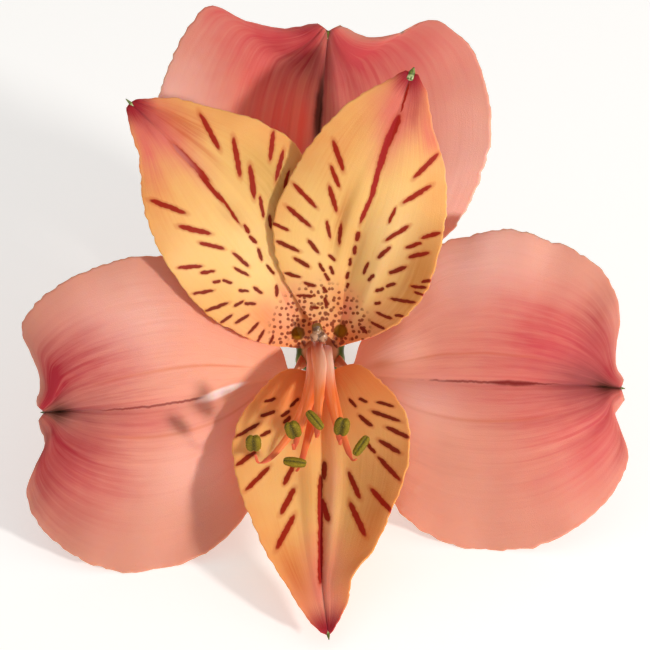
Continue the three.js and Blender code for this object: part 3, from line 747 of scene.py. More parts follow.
# Strokes on the inner petals: U and V of both ends, and the width, in millimetres.
STROKES = {
    "inner_petal_upper_left": [
        (-17.6, 24.9, -13.3, 20.5, 0.62), (-14.6, 21.5, -11.6, 17.9, 0.5), (-12.3, 19.2, -9.7, 15.4, 0.34),
        (-9.1, 15.2, -8.5, 14.3, 0.42), (-8.4, 13.9, -7.7, 13.1, 0.4), (-7.4, 12.4, -7, 11, 0.4),
        (-6.4, 10.4, -5.5, 9.4, 0.36), (-5.2, 8, -5.2, 6.7, 0.36),
        (-20.3, 18.2, -16.2, 16.7, 0.6), (-16.9, 15.1, -13.2, 14.2, 0.6), (-14.4, 13.1, -11.6, 12.4, 0.48),
        (-17, 10.1, -14.2, 10.3, 0.42), (-14.3, 9.5, -12.7, 9.7, 0.36), (-12.8, 8.4, -12, 8.5, 0.36),
        (-11.6, 8.6, -10.6, 8.3, 0.36), (-15.2, 7, -12.8, 7.4, 0.38), (-13.8, 4.9, -11, 5.9, 0.38),
        (-10.3, 5.5, -9.2, 6.1, 0.36), (-9, 5.8, -7.8, 5.8, 0.36), (-11.9, 3.5, -10.6, 4.4, 0.38),
        (-10.1, 3.5, -8.6, 4.4, 0.38), (-8.6, 2.2, -7.4, 3.5, 0.36), (-7.6, 1.1, -6.7, 2.6, 0.32),
        (-6, 1, -5.6, 2, 0.3), (-10.4, 11.9, -8.6, 10.3, 0.42), (-10.3, 10.1, -8.6, 9.2, 0.36),
        (-9.7, 7.4, -8.6, 7.3, 0.36), (-7.9, 7.7, -7, 7.1, 0.4),
        (-14.4, 28.6, -12.1, 24.4, 0.6), (-10.4, 25.7, -9.6, 21.1, 0.6), (-8.4, 22.4, -7.9, 18.5, 0.6),
        (-7.2, 18.7, -6.8, 16.2, 0.42), (-6.1, 16.4, -5.9, 14.9, 0.4), (-5.6, 26.5, -6, 23, 0.54),
        (-4.4, 24.2, -5.3, 20.6, 0.48), (-3.7, 21.8, -4.3, 19.7, 0.34),
    ],
    "inner_petal_upper_right": [
        (10.7, 32.2, 9.7, 28.8, 0.22), (9.5, 28.3, 7.7, 24.2, 0.9), (8.2, 25.7, 7, 21.6, 0.78),
        (7.3, 23, 6.1, 18.2, 0.6), (6.4, 19.2, 4.8, 15.5, 0.46), (4.6, 14.3, 4.4, 13.4, 0.56),
        (4.2, 12.7, 4.1, 11.8, 0.42), (3.7, 11.2, 3.5, 10.4, 0.38), (3.4, 9.6, 3.2, 8.9, 0.42),
        (3.4, 8.2, 3.2, 7.7, 0.36),
        (1.6, 25.3, 2.8, 21.8, 0.6), (1.3, 22.3, 2.3, 19.8, 0.5), (1.1, 19.9, 2, 16.9, 0.54),
        (-3.2, 20.2, -0.5, 17.4, 0.5), (-4, 17.5, -1.1, 15, 0.5), (-5.8, 15.5, -3.8, 14.6, 0.38),
        (-5.2, 13.3, -2.5, 12.1, 0.46), (-1.4, 13.4, -0.2, 11.9, 0.42), (0.8, 15.7, 1.2, 13.7, 0.42),
        (2.5, 15.4, 2.3, 13, 0.42), (-3.1, 11.3, -1.3, 10.2, 0.46), (1.1, 11.6, 1.8, 11, 0.4),
        (-0.1, 10.6, 0.5, 9.7, 0.36), (1.2, 10.2, 1.6, 9.4, 0.36), (0.6, 9.4, 1.1, 8.6, 0.36),
        (-4.2, 9.5, -2.4, 9, 0.38), (-1.9, 8.3, -0.6, 7.9, 0.4), (0.4, 7.7, 0.8, 7.2, 0.38),
        (-2.8, 6.8, -0.8, 6.7, 0.3), (0.6, 6.5, 0.8, 5.5, 0.4), (-1, 5.3, -0.2, 5.3, 0.3),
        (14.2, 23.8, 11.3, 20.9, 0.54), (13.3, 20, 10, 17.9, 0.54), (9.1, 17.3, 8.2, 15.5, 0.38),
        (10.6, 15.1, 7.9, 13.4, 0.5), (14.4, 14.3, 12.2, 13.7, 0.48), (12.1, 13.1, 10.3, 12.5, 0.42),
        (13, 11.9, 10.7, 11.4, 0.52), (8.4, 12.6, 7, 11.3, 0.48), (10.3, 10.2, 8.4, 9.5, 0.5),
        (5.8, 10.7, 5.2, 9.4, 0.36), (6.4, 9.2, 5.8, 8.6, 0.4), (13.4, 8.6, 12.2, 8.4, 0.36),
        (12.7, 7.7, 10.9, 7.9, 0.36), (12.5, 6.8, 11.3, 7.2, 0.3), (9, 8.2, 8, 7.9, 0.4),
        (7.6, 7.6, 6.7, 7.3, 0.4), (8.5, 6.4, 11.4, 5.9, 0.4), (7.2, 5.9, 6.6, 5.8, 0.36),
        (6.8, 4.7, 8.6, 4, 0.36), (9, 4.4, 10, 4.3, 0.34), (6.1, 3.6, 7.7, 2.8, 0.36),
        (4.9, 3, 5.6, 2.3, 0.36),
    ],
    "inner_petal_lower": [
        (0.1, -14.8, -0.1, -19, 0.56), (0, -17.8, 0.1, -22, 0.58), (0, -20.8, 0.1, -25.7, 0.54),
        (0, -24.4, 0, -27.8, 0.5), (0.5, -13.2, 0.5, -15.2, 0.6), (0.2, -17.7, 1, -20.2, 0.7),
        (-6.6, -6, -5.4, -5.6, 0.36), (-7.1, -7.7, -5.4, -7.1, 0.42), (-10.1, -10.2, -7.3, -8.6, 0.4),
        (-7.1, -10.1, -6, -9.5, 0.42), (-10, -13.6, -7.8, -12, 0.52), (-8.9, -16.6, -6.1, -13.8, 0.54),
        (-3.5, -6.5, -2.6, -5.6, 0.36), (-4.6, -7.7, -3.7, -7.1, 0.42), (-4.3, -8.5, -3.6, -7.8, 0.44),
        (-4.3, -15.8, -3.2, -13.6, 0.6), (-4.7, -19.4, -3.1, -16.4, 0.66), (-5.2, -23.6, -3.1, -19.6, 0.66),
        (3.5, -5.6, 4.3, -6.6, 0.36), (4.7, -5.6, 5.6, -6, 0.36), (6.8, -6, 8.8, -6.5, 0.36),
        (6.2, -7.1, 9.6, -8.3, 0.46), (4.7, -7.6, 6.2, -8.9, 0.46), (8, -9, 10.7, -10.3, 0.52),
        (7.1, -10.6, 9.6, -12.1, 0.54), (5.4, -10.8, 6.6, -12.1, 0.42), (7, -12.6, 9.6, -15.4, 0.54),
        (3.4, -14.4, 4.8, -17.5, 0.6), (6.1, -16.4, 8.6, -19.2, 0.6), (3.6, -18.1, 5.4, -22, 0.7),
    ],
}


def stroke_distance(spot, strokes):
    """Below 1 within a stroke. spot is (U, V, 1) in millimetres."""
    nearest = None
    for u0, v0, u1, v1, width in strokes:
        start, end = Vector((u0, v0)), Vector((u1, v1))
        middle, along = (start + end) / 2, (end - start).normalized()
        axes = (
            (along, (end - start).length / 2 + width / 3),
            (Vector((-along.y, along.x)), width * 0.58),
        )
        lengthways, sideways = (
            spot.dot((axis.x / half, axis.y / half, -middle.dot(axis) / half)) for axis, half in axes
        )
        squared = lengthways * lengthways
        reach = squared * squared + sideways * sideways
        nearest = reach if nearest is None else nearest.least(reach)
    return nearest


def as_seen(finish):
    """U and V as seen from in front of the face, with 1 as the third value."""
    nearness = CAMERA_DISTANCE / (CAMERA_DISTANCE - finish.here.part("Z"))
    seen = [(finish.here.part(axis) - aim) * nearness + aim for axis, aim in zip("XY", CAMERA_AIM)]
    return finish.vector(*seen, 1)


# Soft patches of colour, some of them painted light and shade as marked: the colour, along, across, half the
# length, half the width, strength, slant.
WASHES = {
    "outer_petal_left": [
        # The patches of the palest colour are painted highlights; the warm patch at 0.45 along is painted
        # light in the shade beside the lower petal.
        ("flare", 0.5, -0.45, 0.14, 0.28, 0.35), ("flare", 0.68, 0.6, 0.12, 0.3, 0.3),
        ("rose", 0.8, 0.4, 0.12, 0.28, 0.5), ("rose", 0.7, -0.1, 0.15, 0.14, 0.4),
        ("rose", 0.8, -0.5, 0.1, 0.25, 0.6), ("crimson", 0.93, 0.46, 0.18, 0.3, 1),
        ("crimson", 0.9, -0.4, 0.14, 0.22, 0.8), ("crimson", 0.9, -0.74, 0.11, 0.2, 0.75),
        ("mauve", 0.89, 0, 0.13, 0.2, 0.8), ("glow", 0.45, -0.4, 0.1, 0.3, 0.22),
        ("maroon", 0.955, 0, 0.05, 0.22, 0.9), ("pale", 0.62, -0.8, 0.14, 0.3, 0.45),
        ("crimson", 0.8, -0.25, 0.07, 0.15, 0.2),
    ],
    "outer_petal_right": [
        # The patches of the palest colour are painted highlights.
        ("flare", 0.4, -0.85, 0.14, 0.22, 0.35), ("flare", 0.55, -0.8, 0.15, 0.3, 0.35),
        ("flare", 0.38, 0.4, 0.12, 0.3, 0.3), ("flare", 0.38, -0.3, 0.08, 0.2, 0.3),
        ("rose", 0.78, -0.32, 0.22, 0.32, 0.8), ("rose", 0.86, 0.42, 0.18, 0.44, 0.75),
        ("rose", 0.57, 0.03, 0.22, 0.18, 0.35), ("crimson", 0.95, -0.5, 0.07, 0.45, 0.8),
        ("crimson", 0.93, 0.05, 0.09, 0.35, 0.7), ("crimson", 0.86, -0.6, 0.06, 0.25, 0.5),
        ("mauve", 0.91, -0.05, 0.1, 0.26, 0.95), ("crimson", 0.93, 0.85, 0.06, 0.14, 0.4),
        ("maroon", 0.96, 0, 0.045, 0.2, 0.9), ("throat", 0.33, -0.2, 0.05, 0.08, 0.5),
        ("pale", 0.5, 0.7, 0.16, 0.3, 0.6), ("flare", 0.46, 0.15, 0.1, 0.15, 0.25),
    ],
    "outer_petal_top": [
        # The patches of the palest colour are painted highlights, and the two warm patches near 0.74 along
        # are painted light in the shade of the inner petals. The slanted crimson band at 0.9 along is partly
        # the petal's crimson and partly painted shadow of the upper right inner petal's tip.
        ("flare", 0.5, 0.85, 0.2, 0.3, 0.35), ("flare", 0.67, -0.9, 0.07, 0.25, 0.4),
        ("rose", 0.86, -0.85, 0.08, 0.3, 0.5), ("rose", 0.9, 0.38, 0.17, 0.4, 1),
        ("rose", 0.72, -0.3, 0.18, 0.22, 0.4), ("rose", 0.82, 0.85, 0.1, 0.25, 0.3),
        ("rose", 0.9, -0.6, 0.13, 0.4, 0.95), ("glow", 0.73, -0.28, 0.14, 0.26, 0.35),
        ("crimson", 0.9, -0.3, 0.07, 0.28, 0.9, 0.4), ("crimson", 0.97, -0.6, 0.05, 0.5, 0.75),
        ("mauve", 0.93, 0.08, 0.08, 0.15, 0.5), ("glow", 0.74, -0.13, 0.08, 0.08, 0.5),
    ],
    "inner_petal_upper_left": [
        # The two patches in the overlap colour are painted shadow of the upper right petal, and the small
        # patch of dusky ochre by the rib is painted shade.
        ("cream", 0.52, -0.1, 0.16, 0.45, 0.7), ("cream", 0.63, -0.8, 0.1, 0.35, 0.5),
        ("pink", 0.36, 0.05, 0.05, 0.16, 0.6), ("pink", 0.35, -0.45, 0.06, 0.2, 0.6),
        ("peach", 0.33, -0.4, 0.08, 0.5, 0.5), ("orange", 0.33, 0.75, 0.12, 0.35, 0.6),
        ("orange", 0.78, -0.7, 0.1, 0.32, 0.5), ("orange", 0.75, 0.75, 0.12, 0.3, 0.2),
        ("dusk", 0.63, 0.62, 0.1, 0.25, 0.9), ("mauve", 0.79, 0, 0.08, 0.12, 0.3),
        ("halo", 0.88, 0.5, 0.07, 0.3, 0.55), ("crimson", 0.95, 0, 0.05, 0.6, 0.5),
        ("halo", 0.82, 0.3, 0.09, 0.04, 0.4, 0.2), ("blush", 0.88, -0.65, 0.08, 0.3, 0.8),
        ("shade", 0.64, 0, 0.05, 0.12, 0.4), ("orange", 0.36, -0.5, 0.06, 0.25, 0.5),
        ("orange", 0.47, -0.75, 0.08, 0.25, 0.3), ("dusk", 0.65, 0.42, 0.08, 0.15, 0.4),
        ("orange", 0.74, -0.23, 0.07, 0.15, 0.25),
    ],
    "inner_petal_upper_right": [
        # All patches of dusky ochre are painted shade, in the lobe that turns from the light and in the
        # valleys beside the rib; the narrow slanted cream band is partly a painted highlight on the ridge of
        # a fold.
        ("shade", 0.42, 0.8, 0.17, 0.33, 0.55), ("cream", 0.45, -0.45, 0.12, 0.3, 0.5),
        ("cream", 0.5, 0.36, 0.16, 0.07, 0.8, -0.25), ("shade", 0.52, 0.05, 0.1, 0.12, 0.5),
        ("shade", 0.6, -0.22, 0.09, 0.1, 0.8, -0.3), ("pink", 0.36, 0.1, 0.05, 0.2, 0.6),
        ("orange", 0.7, 0.7, 0.12, 0.2, 0.3), ("orange", 0.79, -0.6, 0.1, 0.3, 0.6),
        ("crimson", 0.93, 0.55, 0.05, 0.35, 0.6), ("cream", 0.62, 0.45, 0.12, 0.3, 0.8),
        ("blush", 0.86, 0.85, 0.06, 0.25, 0.7), ("shade", 0.51, 0.88, 0.1, 0.16, 0.8),
        ("orange", 0.36, -0.08, 0.05, 0.2, 0.5), ("shade", 0.57, 0.8, 0.06, 0.15, 0.5),
    ],
    "inner_petal_lower": [
        # The patches of dusky ochre are painted shade, on the half that turns from the light and on the ridge
        # beside the rib; the pale ridge patch at 0.9 along is painted light on the shaded side near the tip.
        ("gold", 0.62, 0.5, 0.14, 0.35, 0.6), ("gold", 0.45, -0.5, 0.1, 0.4, 0.4),
        ("shade", 0.62, -0.6, 0.16, 0.3, 0.35), ("shade", 0.74, -0.8, 0.1, 0.22, 0.5),
        ("shade", 0.6, 0.15, 0.12, 0.1, 0.35), ("gold", 0.35, -0.4, 0.06, 0.3, 0.5),
        ("ridge", 0.6, -0.13, 0.16, 0.08, 0.8), ("orange", 0.8, 0.62, 0.1, 0.3, 0.8),
        ("orange", 0.82, -0.62, 0.08, 0.25, 0.4), ("ridge", 0.9, -0.35, 0.08, 0.35, 0.25),
        ("halo", 0.86, 0.62, 0.07, 0.25, 0.45), ("halo", 0.75, -0.72, 0.07, 0.22, 0.25),
        ("ridge", 0.93, 0.35, 0.05, 0.3, 0.3),
    ],
}


class PetalFinish(Finish):
    """What the petals share: grain, patches, washes and a back of its own."""

    def __init__(self, name, base, seed, patch_scale):
        super().__init__(name, base, **translucent(1, (1, 0.55, 0.3), 0.5, 0.12))
        self.here = self.place()
        self.along, self.across = self.along_and_across()
        self.front = self.attribute("front")
        self.grain = self.streaks(self.along * 5, self.across * 24, seed, 4, 0.6)
        self.lines = self.grain - 0.5
        self.patches = self.noise(self.here, patch_scale, 3) - 0.5

    def wash(self, colours, washes, streaky, drift):
        """Lays soft patches of colour over the base."""
        along, across = self.along + drift, self.across + drift
        for name, ahead, aside, half_length, half_width, share, *slant in washes:
            patch = self.oval(along, across, (ahead, aside), (half_length, half_width), *slant)
            self.paint(patch * streaky * share, getattr(colours, name))

    def end(self, back_share, back):
        """Gives the back its share of a colour, and both sides their grain and tiny cells."""
        self.paint(1 - self.front, self.blend(back_share, self.base, back))
        relief = self.grain * 0.75 + self.cells(self.here, 9) * 0.25
        return self.complete(self.lines * 0.2 + 0.55, relief)


def outer_finish(name, colours):
    finish = PetalFinish(name, colours.salmon, 3, 0.11)
    along, across, front, paint = finish.along, finish.across, finish.front, finish.paint
    lines, patches, out = finish.lines, finish.patches, abs(finish.across)

    paint((out + patches * 0.5).rise(0.25, 0.95) * along.rise(0.3, 0.6), colours.pale)
    paint((along + patches * 0.2).rise(0.62, 0.3) * 0.85, colours.peach)
    paint(along.rise(0.26, 0.14), colours.throat)
    paint(finish.grain.rise(0.5, 0.72) * out.rise(0.8, 0.1) * along.rise(0.25, 0.5) * 0.2, colours.vein)
    comb = finish.streaks(along * 1.5, across * 34, 7).rise(0.5, 0.68)
    paint(comb * along.rise(0.45, 0.85) * out.rise(0.85, 0.4) * 0.45, colours.vein)
    side_veins = (across - 0.02).bell(0.21, 0.012).most((across - 0.02).bell(-0.21, 0.012))
    paint(side_veins * along.rise(0.33, 0.42) * along.rise(0.86, 0.7) * 0.6, colours.side_vein)
    finish.wash(colours, WASHES[name], lines * 1.4 + patches + 1.1, lines * 0.05 + patches * 0.08)
    near = (along - out * 0.18 + lines * 0.03).rise(0.94, 0.98)
    paint(near * (0.35 if name == "outer_petal_top" else 0.95), colours.maroon)
    ragged = finish.streaks(along * 40, 0, 4) - 0.5
    thin_line = abs(across + ragged * 0.035).rise(0.014, 0.003) * (along + ragged * 0.2).rise(0.42, 0.56)
    paint(thin_line * along.rise(0.86, 0.78) * front * 0.75, colours.rib_line)
    if name == "outer_petal_left":
        # Painted highlight: a pale streak along the rib, where the light falls between shadows.
        flare = finish.oval(along + lines * 0.03, across, (0.46, 0.01), (0.09, 0.045), -0.35)
        paint(flare.rise(0.25, 0.7) * front * 0.95, colours.flare)
    if name == "outer_petal_right":
        bar = finish.oval(along, across + ragged * 0.02, (0.71, 0), (0.07, 0.025))
        paint(bar.rise(0.2, 0.7) * front * 0.8, colours.rib_line)
    if name == "outer_petal_top":
        broad = finish.streaks(along * 1.2, across * 15, 9).rise(0.45, 0.6)
        paint(broad * finish.oval(along, across, (0.74, -0.22), (0.16, 0.26)) * 0.35, colours.peach)
        # Painted shade: the dark wall of the channel along the rib, which faces away from the light.
        painted_channel_shade = finish.oval(along, across + ragged * 0.02, (0.79, -0.012), (0.11, 0.036))
        paint(painted_channel_shade.rise(0, 0.8) * front * 0.85, colours.maroon)
    return finish.end(0.25, colours.pale)


def speckles(finish, seen, scale, reach):
    """Round dots, 1 within them. reach: how far from a dot's middle, in shares of a cell."""
    dots = finish.cells(seen, scale, {"voronoi_dimensions": "2D"}, Randomness=0.7)
    return dots.rise(reach * 1.25, reach * 0.75)


def inner_finish(name, colours):
    finish = PetalFinish(name, colours.gold, 11, 0.15)
    upper = name != "inner_petal_lower"
    along, front, paint = finish.along, finish.front, finish.paint
    lines, patches, out = finish.lines, finish.patches, abs(finish.across)

    paint((out + patches * 0.6 + along * 0.25).rise(0.75, 1.3) * 0.55, colours.orange)
    if upper:
        paint((along + patches * 0.2).rise(0.46, 0.3) * 0.8, colours.peach)
        paint(along.rise(0.33, 0.25) * 0.7, colours.ochre)
    else:
        paint((along + patches * 0.1).rise(0.52, 0.36) * 0.8 + 0.2, colours.ochre)
    paint(finish.grain.rise(0.45, 0.75) * 0.15, colours.orange)
    wedge = along - out * (0.2 if upper else 0.22) + patches * 0.12 + lines * 0.06
    paint((wedge.rise(0.66, 0.88) if upper else wedge.rise(0.6, 0.86)) * 0.9, colours.blush)
    finish.wash(colours, WASHES[name], lines * 1.2 + patches + 1, lines * 0.04 + patches * 0.08)
    from_tip = finish.attribute("tip_distance") * (1 / MM) + lines * 3
    paint(from_tip.rise(3.6 if upper else 4.6, 0.8), colours.crimson)

    def from_axis(u, v):
        return ((finish.here - (u, v, 0)) * (1, 1, 0)).length()

    shiver = finish.noise(finish.here, 1.5, 1, output="Color") - (0.5, 0.5, 0.5)
    seen = as_seen(finish) + shiver * (0.26, 0.26, 0)
    reach = stroke_distance(seen, STROKES[name])
    showing = front * 0.8 + 0.2
    paint(reach.rise(3.2, 0.6) * showing * 0.4, colours.halo)
    marks = reach.rise(1.15, 0.5)
    if upper:
        heart = from_axis(0, 2.2)
        small = speckles(finish, seen, 1.4, 0.27) * heart.rise(6.8, 5.4)
        large = speckles(finish, seen, 0.9, 0.24) * heart.rise(4.4, 3)
        marks = marks.most(small.most(large) * 0.88)
    ink = finish.blend(along.rise(0.45, 0.7), colours.streak, colours.ember)
    rib_ink = (colours.mauve, 0.74, 0.82) if name == "inner_petal_upper_left" else (colours.wine, 0.55, 0.68)
    ink = finish.blend(out.rise(0.09, 0.03) * along.rise(*rib_ink[1:]), ink, rib_ink[0])
    paint(marks * showing * 0.95, ink)
    if upper:
        hollow = from_axis(*PETALS[name]["pit"])
        paint(hollow.rise(0.95, 0.7) * front, colours.pit_rim)
        paint(hollow.rise(0.75, 0.35) * front * 0.9, colours.pit)
    return finish.end(0.3, colours.orange)


def grow_petals(scene, whorl, finish, colours, first_seed):
    settings = scene.bloom_petals
    recipe = petal_recipe()
    names = [name for name, shape in PETALS.items() if shape["whorl"] == whorl]
    for seed, name in enumerate(names, first_seed):
        shape = PETALS[name]
        height, waves, start = shape["ruffle"]
        keys = PetalSettings.__annotations__
        values = {key.capitalize().replace("_", " "): getattr(settings, key) for key in keys}
        values |= {"Crease": shape["crease"], "Arch": shape["arch"] * MM, "Seed": seed}
        values |= {"Ruffle": height * MM, "Waves": waves, "Wave start": start}
        values["Material"] = finish(name, colours)
        if "pit" in shape:
            values |= {"Pit": Vector((*shape["pit"], 0)) * MM, "Pit depth": PIT["depth"]}
        for number, (along, across, half_length, half_width, rise) in enumerate(shape["folds"], 1):
            values[f"Fold {number} place"] = (along, across, 0)
            values[f"Fold {number} size"] = (half_length, half_width, rise * MM)
        guide = guide_mesh(name + "_guide", petal_guides(shape, settings.rows))
        settle(grow(name + "_blade", guide, recipe, values), whorl + "_petal", name)


# Round stems ------------------------------------------------------------------


def stem_recipe():
    inputs = {"Path": "Geometry", "Steps": 60, "Sides": 24, "Ribs": 0.0, "Flatten": 1.0, "Slant": 0.0}
    recipe = Recipe("round_stem", inputs | {"Tilted": True, "Material": "Material"})
    steps, path = recipe["Steps"], recipe["Path"]
    sheet, row, share_round = recipe.grid(steps, recipe["Sides"])
    pick = row + 0.5
    angle = share_round * (2 * math.pi)
    centre = recipe.sample(path, recipe.position, pick)
    along, across, up = (recipe.sample(path, recipe.named(name), pick) for name in ("along", "across", "up"))
    girth, flute = (
        recipe.sample(path, recipe.named(name, "FLOAT"), pick, "FLOAT") for name in ("girth", "flute")
    )
    ribbed = ((angle - math.pi / 2) * recipe["Ribs"] + math.pi / 2).sine() * flute
    out = girth + ribbed
    aside, rise = out * (angle + math.pi / 2).sine(), out * angle.sine()
    cut = along * (rise * recipe["Slant"] * (row > steps - 0.5))
    shaped = recipe.move(sheet, Position=centre + across * aside + up * (rise * recipe["Flatten"]) + cut)
    turned = recipe.flipped(recipe.mapped(shaped, row / steps, share_round))
    sockets = {"Switch": recipe["Tilted"], "False": turned, "True": recipe.in_row(turned)}
    return recipe.end(recipe.add("GeometryNodeSwitch", {}, sockets))


# A stem's end is rounded by its last two rings. For each: its share of the girth, and how far
# out it is pushed, in shares of the girth.
END_RINGS = ((0, 0.3), (0.7, 0.22))
LOOK_ROUND = 0.002  # share of a stem that is looked ahead and behind for its direction


def stem_guides(name, points, steps, girth, side, flute):
    """The path of a stem in metres. girth(share) is its radius, and both ends are rounded off."""
    curve = Curve([Vector(point) * MM for point in points])
    shares = [0, 0, *(i / steps for i in range(steps + 1)), 1, 1]
    centres, ahead, behind = (
        curve.at(within(share + shift, 0, 1) * curve.length for share in shares)
        for shift in (0, LOOK_ROUND, -LOOK_ROUND)
    )
    side = Vector(side)
    along = [(b - a).normalized() for a, b in zip(behind, ahead)]
    across = [(side - direction * direction.dot(side)).normalized() for direction in along]
    up = [direction.cross(sideways) for direction, sideways in zip(along, across)]
    girths = [girth(share) * MM for share in shares]
    for end, ring, way in ((0, 2, -1), (-1, -3, 1)):
        for row, (inset, push) in zip((end, end - way), END_RINGS):
            girths[row] *= inset
            centres[row] += along[row] * (way * push * girths[ring])
    flutes = [flute(share) * MM for share in shares]
    flutes[0] = flutes[-1] = 0.0
    mesh = guide_mesh(name, centres, along=along, across=across, up=up, girth=girths, flute=flutes)
    return mesh, len(shares) - 1


def grow_stem(
    name, recipe, material, points, girth, side=(1, 0, 0), steps=60, flute=lambda share: 0.0, **values
):
    guide, rows = stem_guides(name + "_guide", points, steps, girth, side, flute)
    return grow(name, guide, recipe, {"Steps": rows, "Material": material, **values})


def green_point_size(name):
    """Length, radius and lift."""
    return GREEN_POINTS.get(name, GREEN_POINTS[PETALS[name]["whorl"]])


def green_point_route(name):
    """The hard end of a petal: it leaves the notch and turns up."""
    rows, rooted, looked_back = 200, 3, 8
    rib = petal_guides(PETALS[name], rows)[: rows + 1]
    root = rib[rows - rooted] / MM
    direction = (rib[rows] - rib[rows - looked_back]).normalized()
    length, _, lift = green_point_size(name)
    direction.z += lift
    direction.normalize()
    hook = Vector((0, 0, length * 0.12))
    return [root, root + direction * length * 0.5, root + direction * length * 0.97 + hook]


def green_finish(colours):
    finish = Finish("green_point", colours.point, **{"Specular IOR Level": 0.4})
    along, _ = finish.along_and_across()
    mottle = finish.noise(finish.place(), 2.5, 3)
    finish.paint(mottle.rise(0.35, 0.7), colours.rib)
    finish.paint(along.rise(0.55, 0.2) * mottle.rise(0.4, 0.6), colours.cut)
    finish.paint(along.rise(0.8, 1) * 0.6, DRY_END)
    return finish.complete(0.4 + mottle * 0.2, mottle, 0.05)


# Stamens ----------------------------------------------------------------------

# route: from the ovary to the anther's seat. anther: its middle. long and broad: its axes.
STAMENS = [
    dict(bearing=210, route=[(-1, -0.9, -18), (-1.15, -1.1, -13), (-1.4, -3.6, -6), (-2.2, -7, -1),
                             (-4, -10.4, 2), (-6.2, -12.8, 3.6), (-7.3, -13.2, 4.2), (-7.7, -12.2, 4.9)],
         anther=(-7.9, -10.8, 6), long=(0, 0.58, 0.81), broad=(1, 0.05, 0)),
    dict(bearing=150, route=[(-1.2, 0.3, -18), (-1.3, 0, -13), (-1, -2.9, -5), (-1.7, -6.6, 0.6),
                             (-2.6, -9.8, 3.8), (-3.1, -11.6, 5), (-3.2, -10.9, 5.9)],
         anther=(-3.2, -9.2, 6.4), long=(-0.25, 0.6, 0.76), broad=(0.95, 0.3, 0)),
    dict(bearing=90, route=[(-0.55, 1, -18), (-0.5, 0.55, -13), (-0.05, -2.2, -4), (-0.2, -6, 2),
                            (-0.3, -8.8, 5.4), (-0.4, -10.1, 6.9), (-0.1, -9.5, 7.9)],
         anther=(-0.6, -8, 8.6), long=(0.65, -0.76, 0), broad=(0, 0.1, 1)),
    dict(bearing=30, route=[(1.2, 0.15, -18), (1, 0.3, -13), (1.1, -2.9, -5), (1.7, -6.6, 0.4),
                            (2.2, -9.6, 4), (2.4, -11, 5.6), (2.5, -10.3, 6.4)],
         anther=(2.6, -8.8, 7.4), long=(0.15, 0.66, 0.74), broad=(0.95, 0.1, 0.3)),
    dict(bearing=330, route=[(1.05, -0.8, -18), (1.15, -0.8, -13), (1.5, -3.8, -6), (2.2, -7.4, -1),
                             (2.9, -10.4, 2.2), (3.9, -12.9, 4.2), (4.3, -12.7, 5.2)],
         anther=(4.9, -11.1, 6.1), long=(0.58, 0.82, 0), broad=(0, 0.1, 1)),
    dict(bearing=270, route=[(0, -1.2, -18), (0, -1.35, -13), (-0.1, -4.5, -7), (-0.9, -8, -2.4),
                             (-1.7, -11.2, 0.8), (-2.4, -13.6, 2.8), (-2.8, -14.2, 3.7)],
         anther=(-3, -13.1, 4.7), long=(0.99, -0.13, 0), broad=(0, 0.1, 1)),
]
FILAMENT = {"foot": 0.34, "swell": 0.52, "thread": 0.17, "thread_length": 1.5}
ANTHER = {"length": 2.9, "breadth": 2, "thickness": 1.15, "bulge": 1.2544, "bluntness": 0.62}
SLIT, SEAM = (0.16, 13), (0.42, 24)  # depth as a share of the radius, and half the width in degrees
END_NOTCH = (0.14, 0.28)  # depth as a share of half the length, and half the width
STIGMA_LOBES = [(102, 1.3, 0.85), (205, 0.8, 0.85), (335, 0.85, 0.85)]  # bearing, reach and radius
STIGMA_DETAIL = 0.035 * MM


def filament_route(stamen):
    """From the ovary to the anther, drawn in to one bundle where it leaves the throat."""
    bundled = [(u * (0.7 + 0.3 * smoothstep(-v, 3, 9.5)), v, w) for u, v, w in stamen["route"]]
    return [around(stamen["bearing"], STAMEN_RING, SEAT), *bundled]


def filament_girth(route):
    """Half the breadth along a filament: broad in its middle, then a thin thread."""
    length = Curve([Vector(point) for point in route]).length
    thread_start = 1 - FILAMENT["thread_length"] / length

    def girth(share):
        body = FILAMENT["foot"] + FILAMENT["swell"] * math.sin(math.pi * min(share / 0.97, 1)) ** 1.5
        thinned = smoothstep(share, thread_start - 0.03, thread_start)
        return body + (FILAMENT["thread"] - body) * thinned

    return girth


def filament_finish(colours):
    finish = Finish("filament", colours.filament, **translucent(0.3, (1, 0.3, 0.15), 0.8, 0.45))
    along, across = finish.along_and_across()
    u, v, w = (finish.place().part(axis) for axis in "XYZ")
    fibres = finish.streaks(along * 8, across * 9, 0, 3)
    finish.paint(fibres.rise(0.4, 0.8) * 0.18, colours.flush)
    # Painted highlight: paler where the filaments leave the throat, and most on their right side, which faces
    # the light.
    pale = v.rise(-5, -1.2) * (u.rise(-0.8, 0.6) * 0.6 + 0.4)
    finish.paint(pale * (fibres * 0.6 + 0.5), colours.flush)
    finish.paint(w.rise(-9.5, -12.5) * 0.6, colours.thread)
    finish.paint(along.rise(0.84, 0.93), colours.thread)
    return finish.complete(0.42 + fibres * 0.1, fibres, 0.03)


def grooves(angle, first, depth, width):
    """How deep two opposite soft grooves are at an angle, for angles in degrees."""
    away = [(angle - middle + 180) % 360 - 180 for middle in (first, first + 180)]
    return depth * sum(math.exp(-((off / width) ** 2)) for off in away)


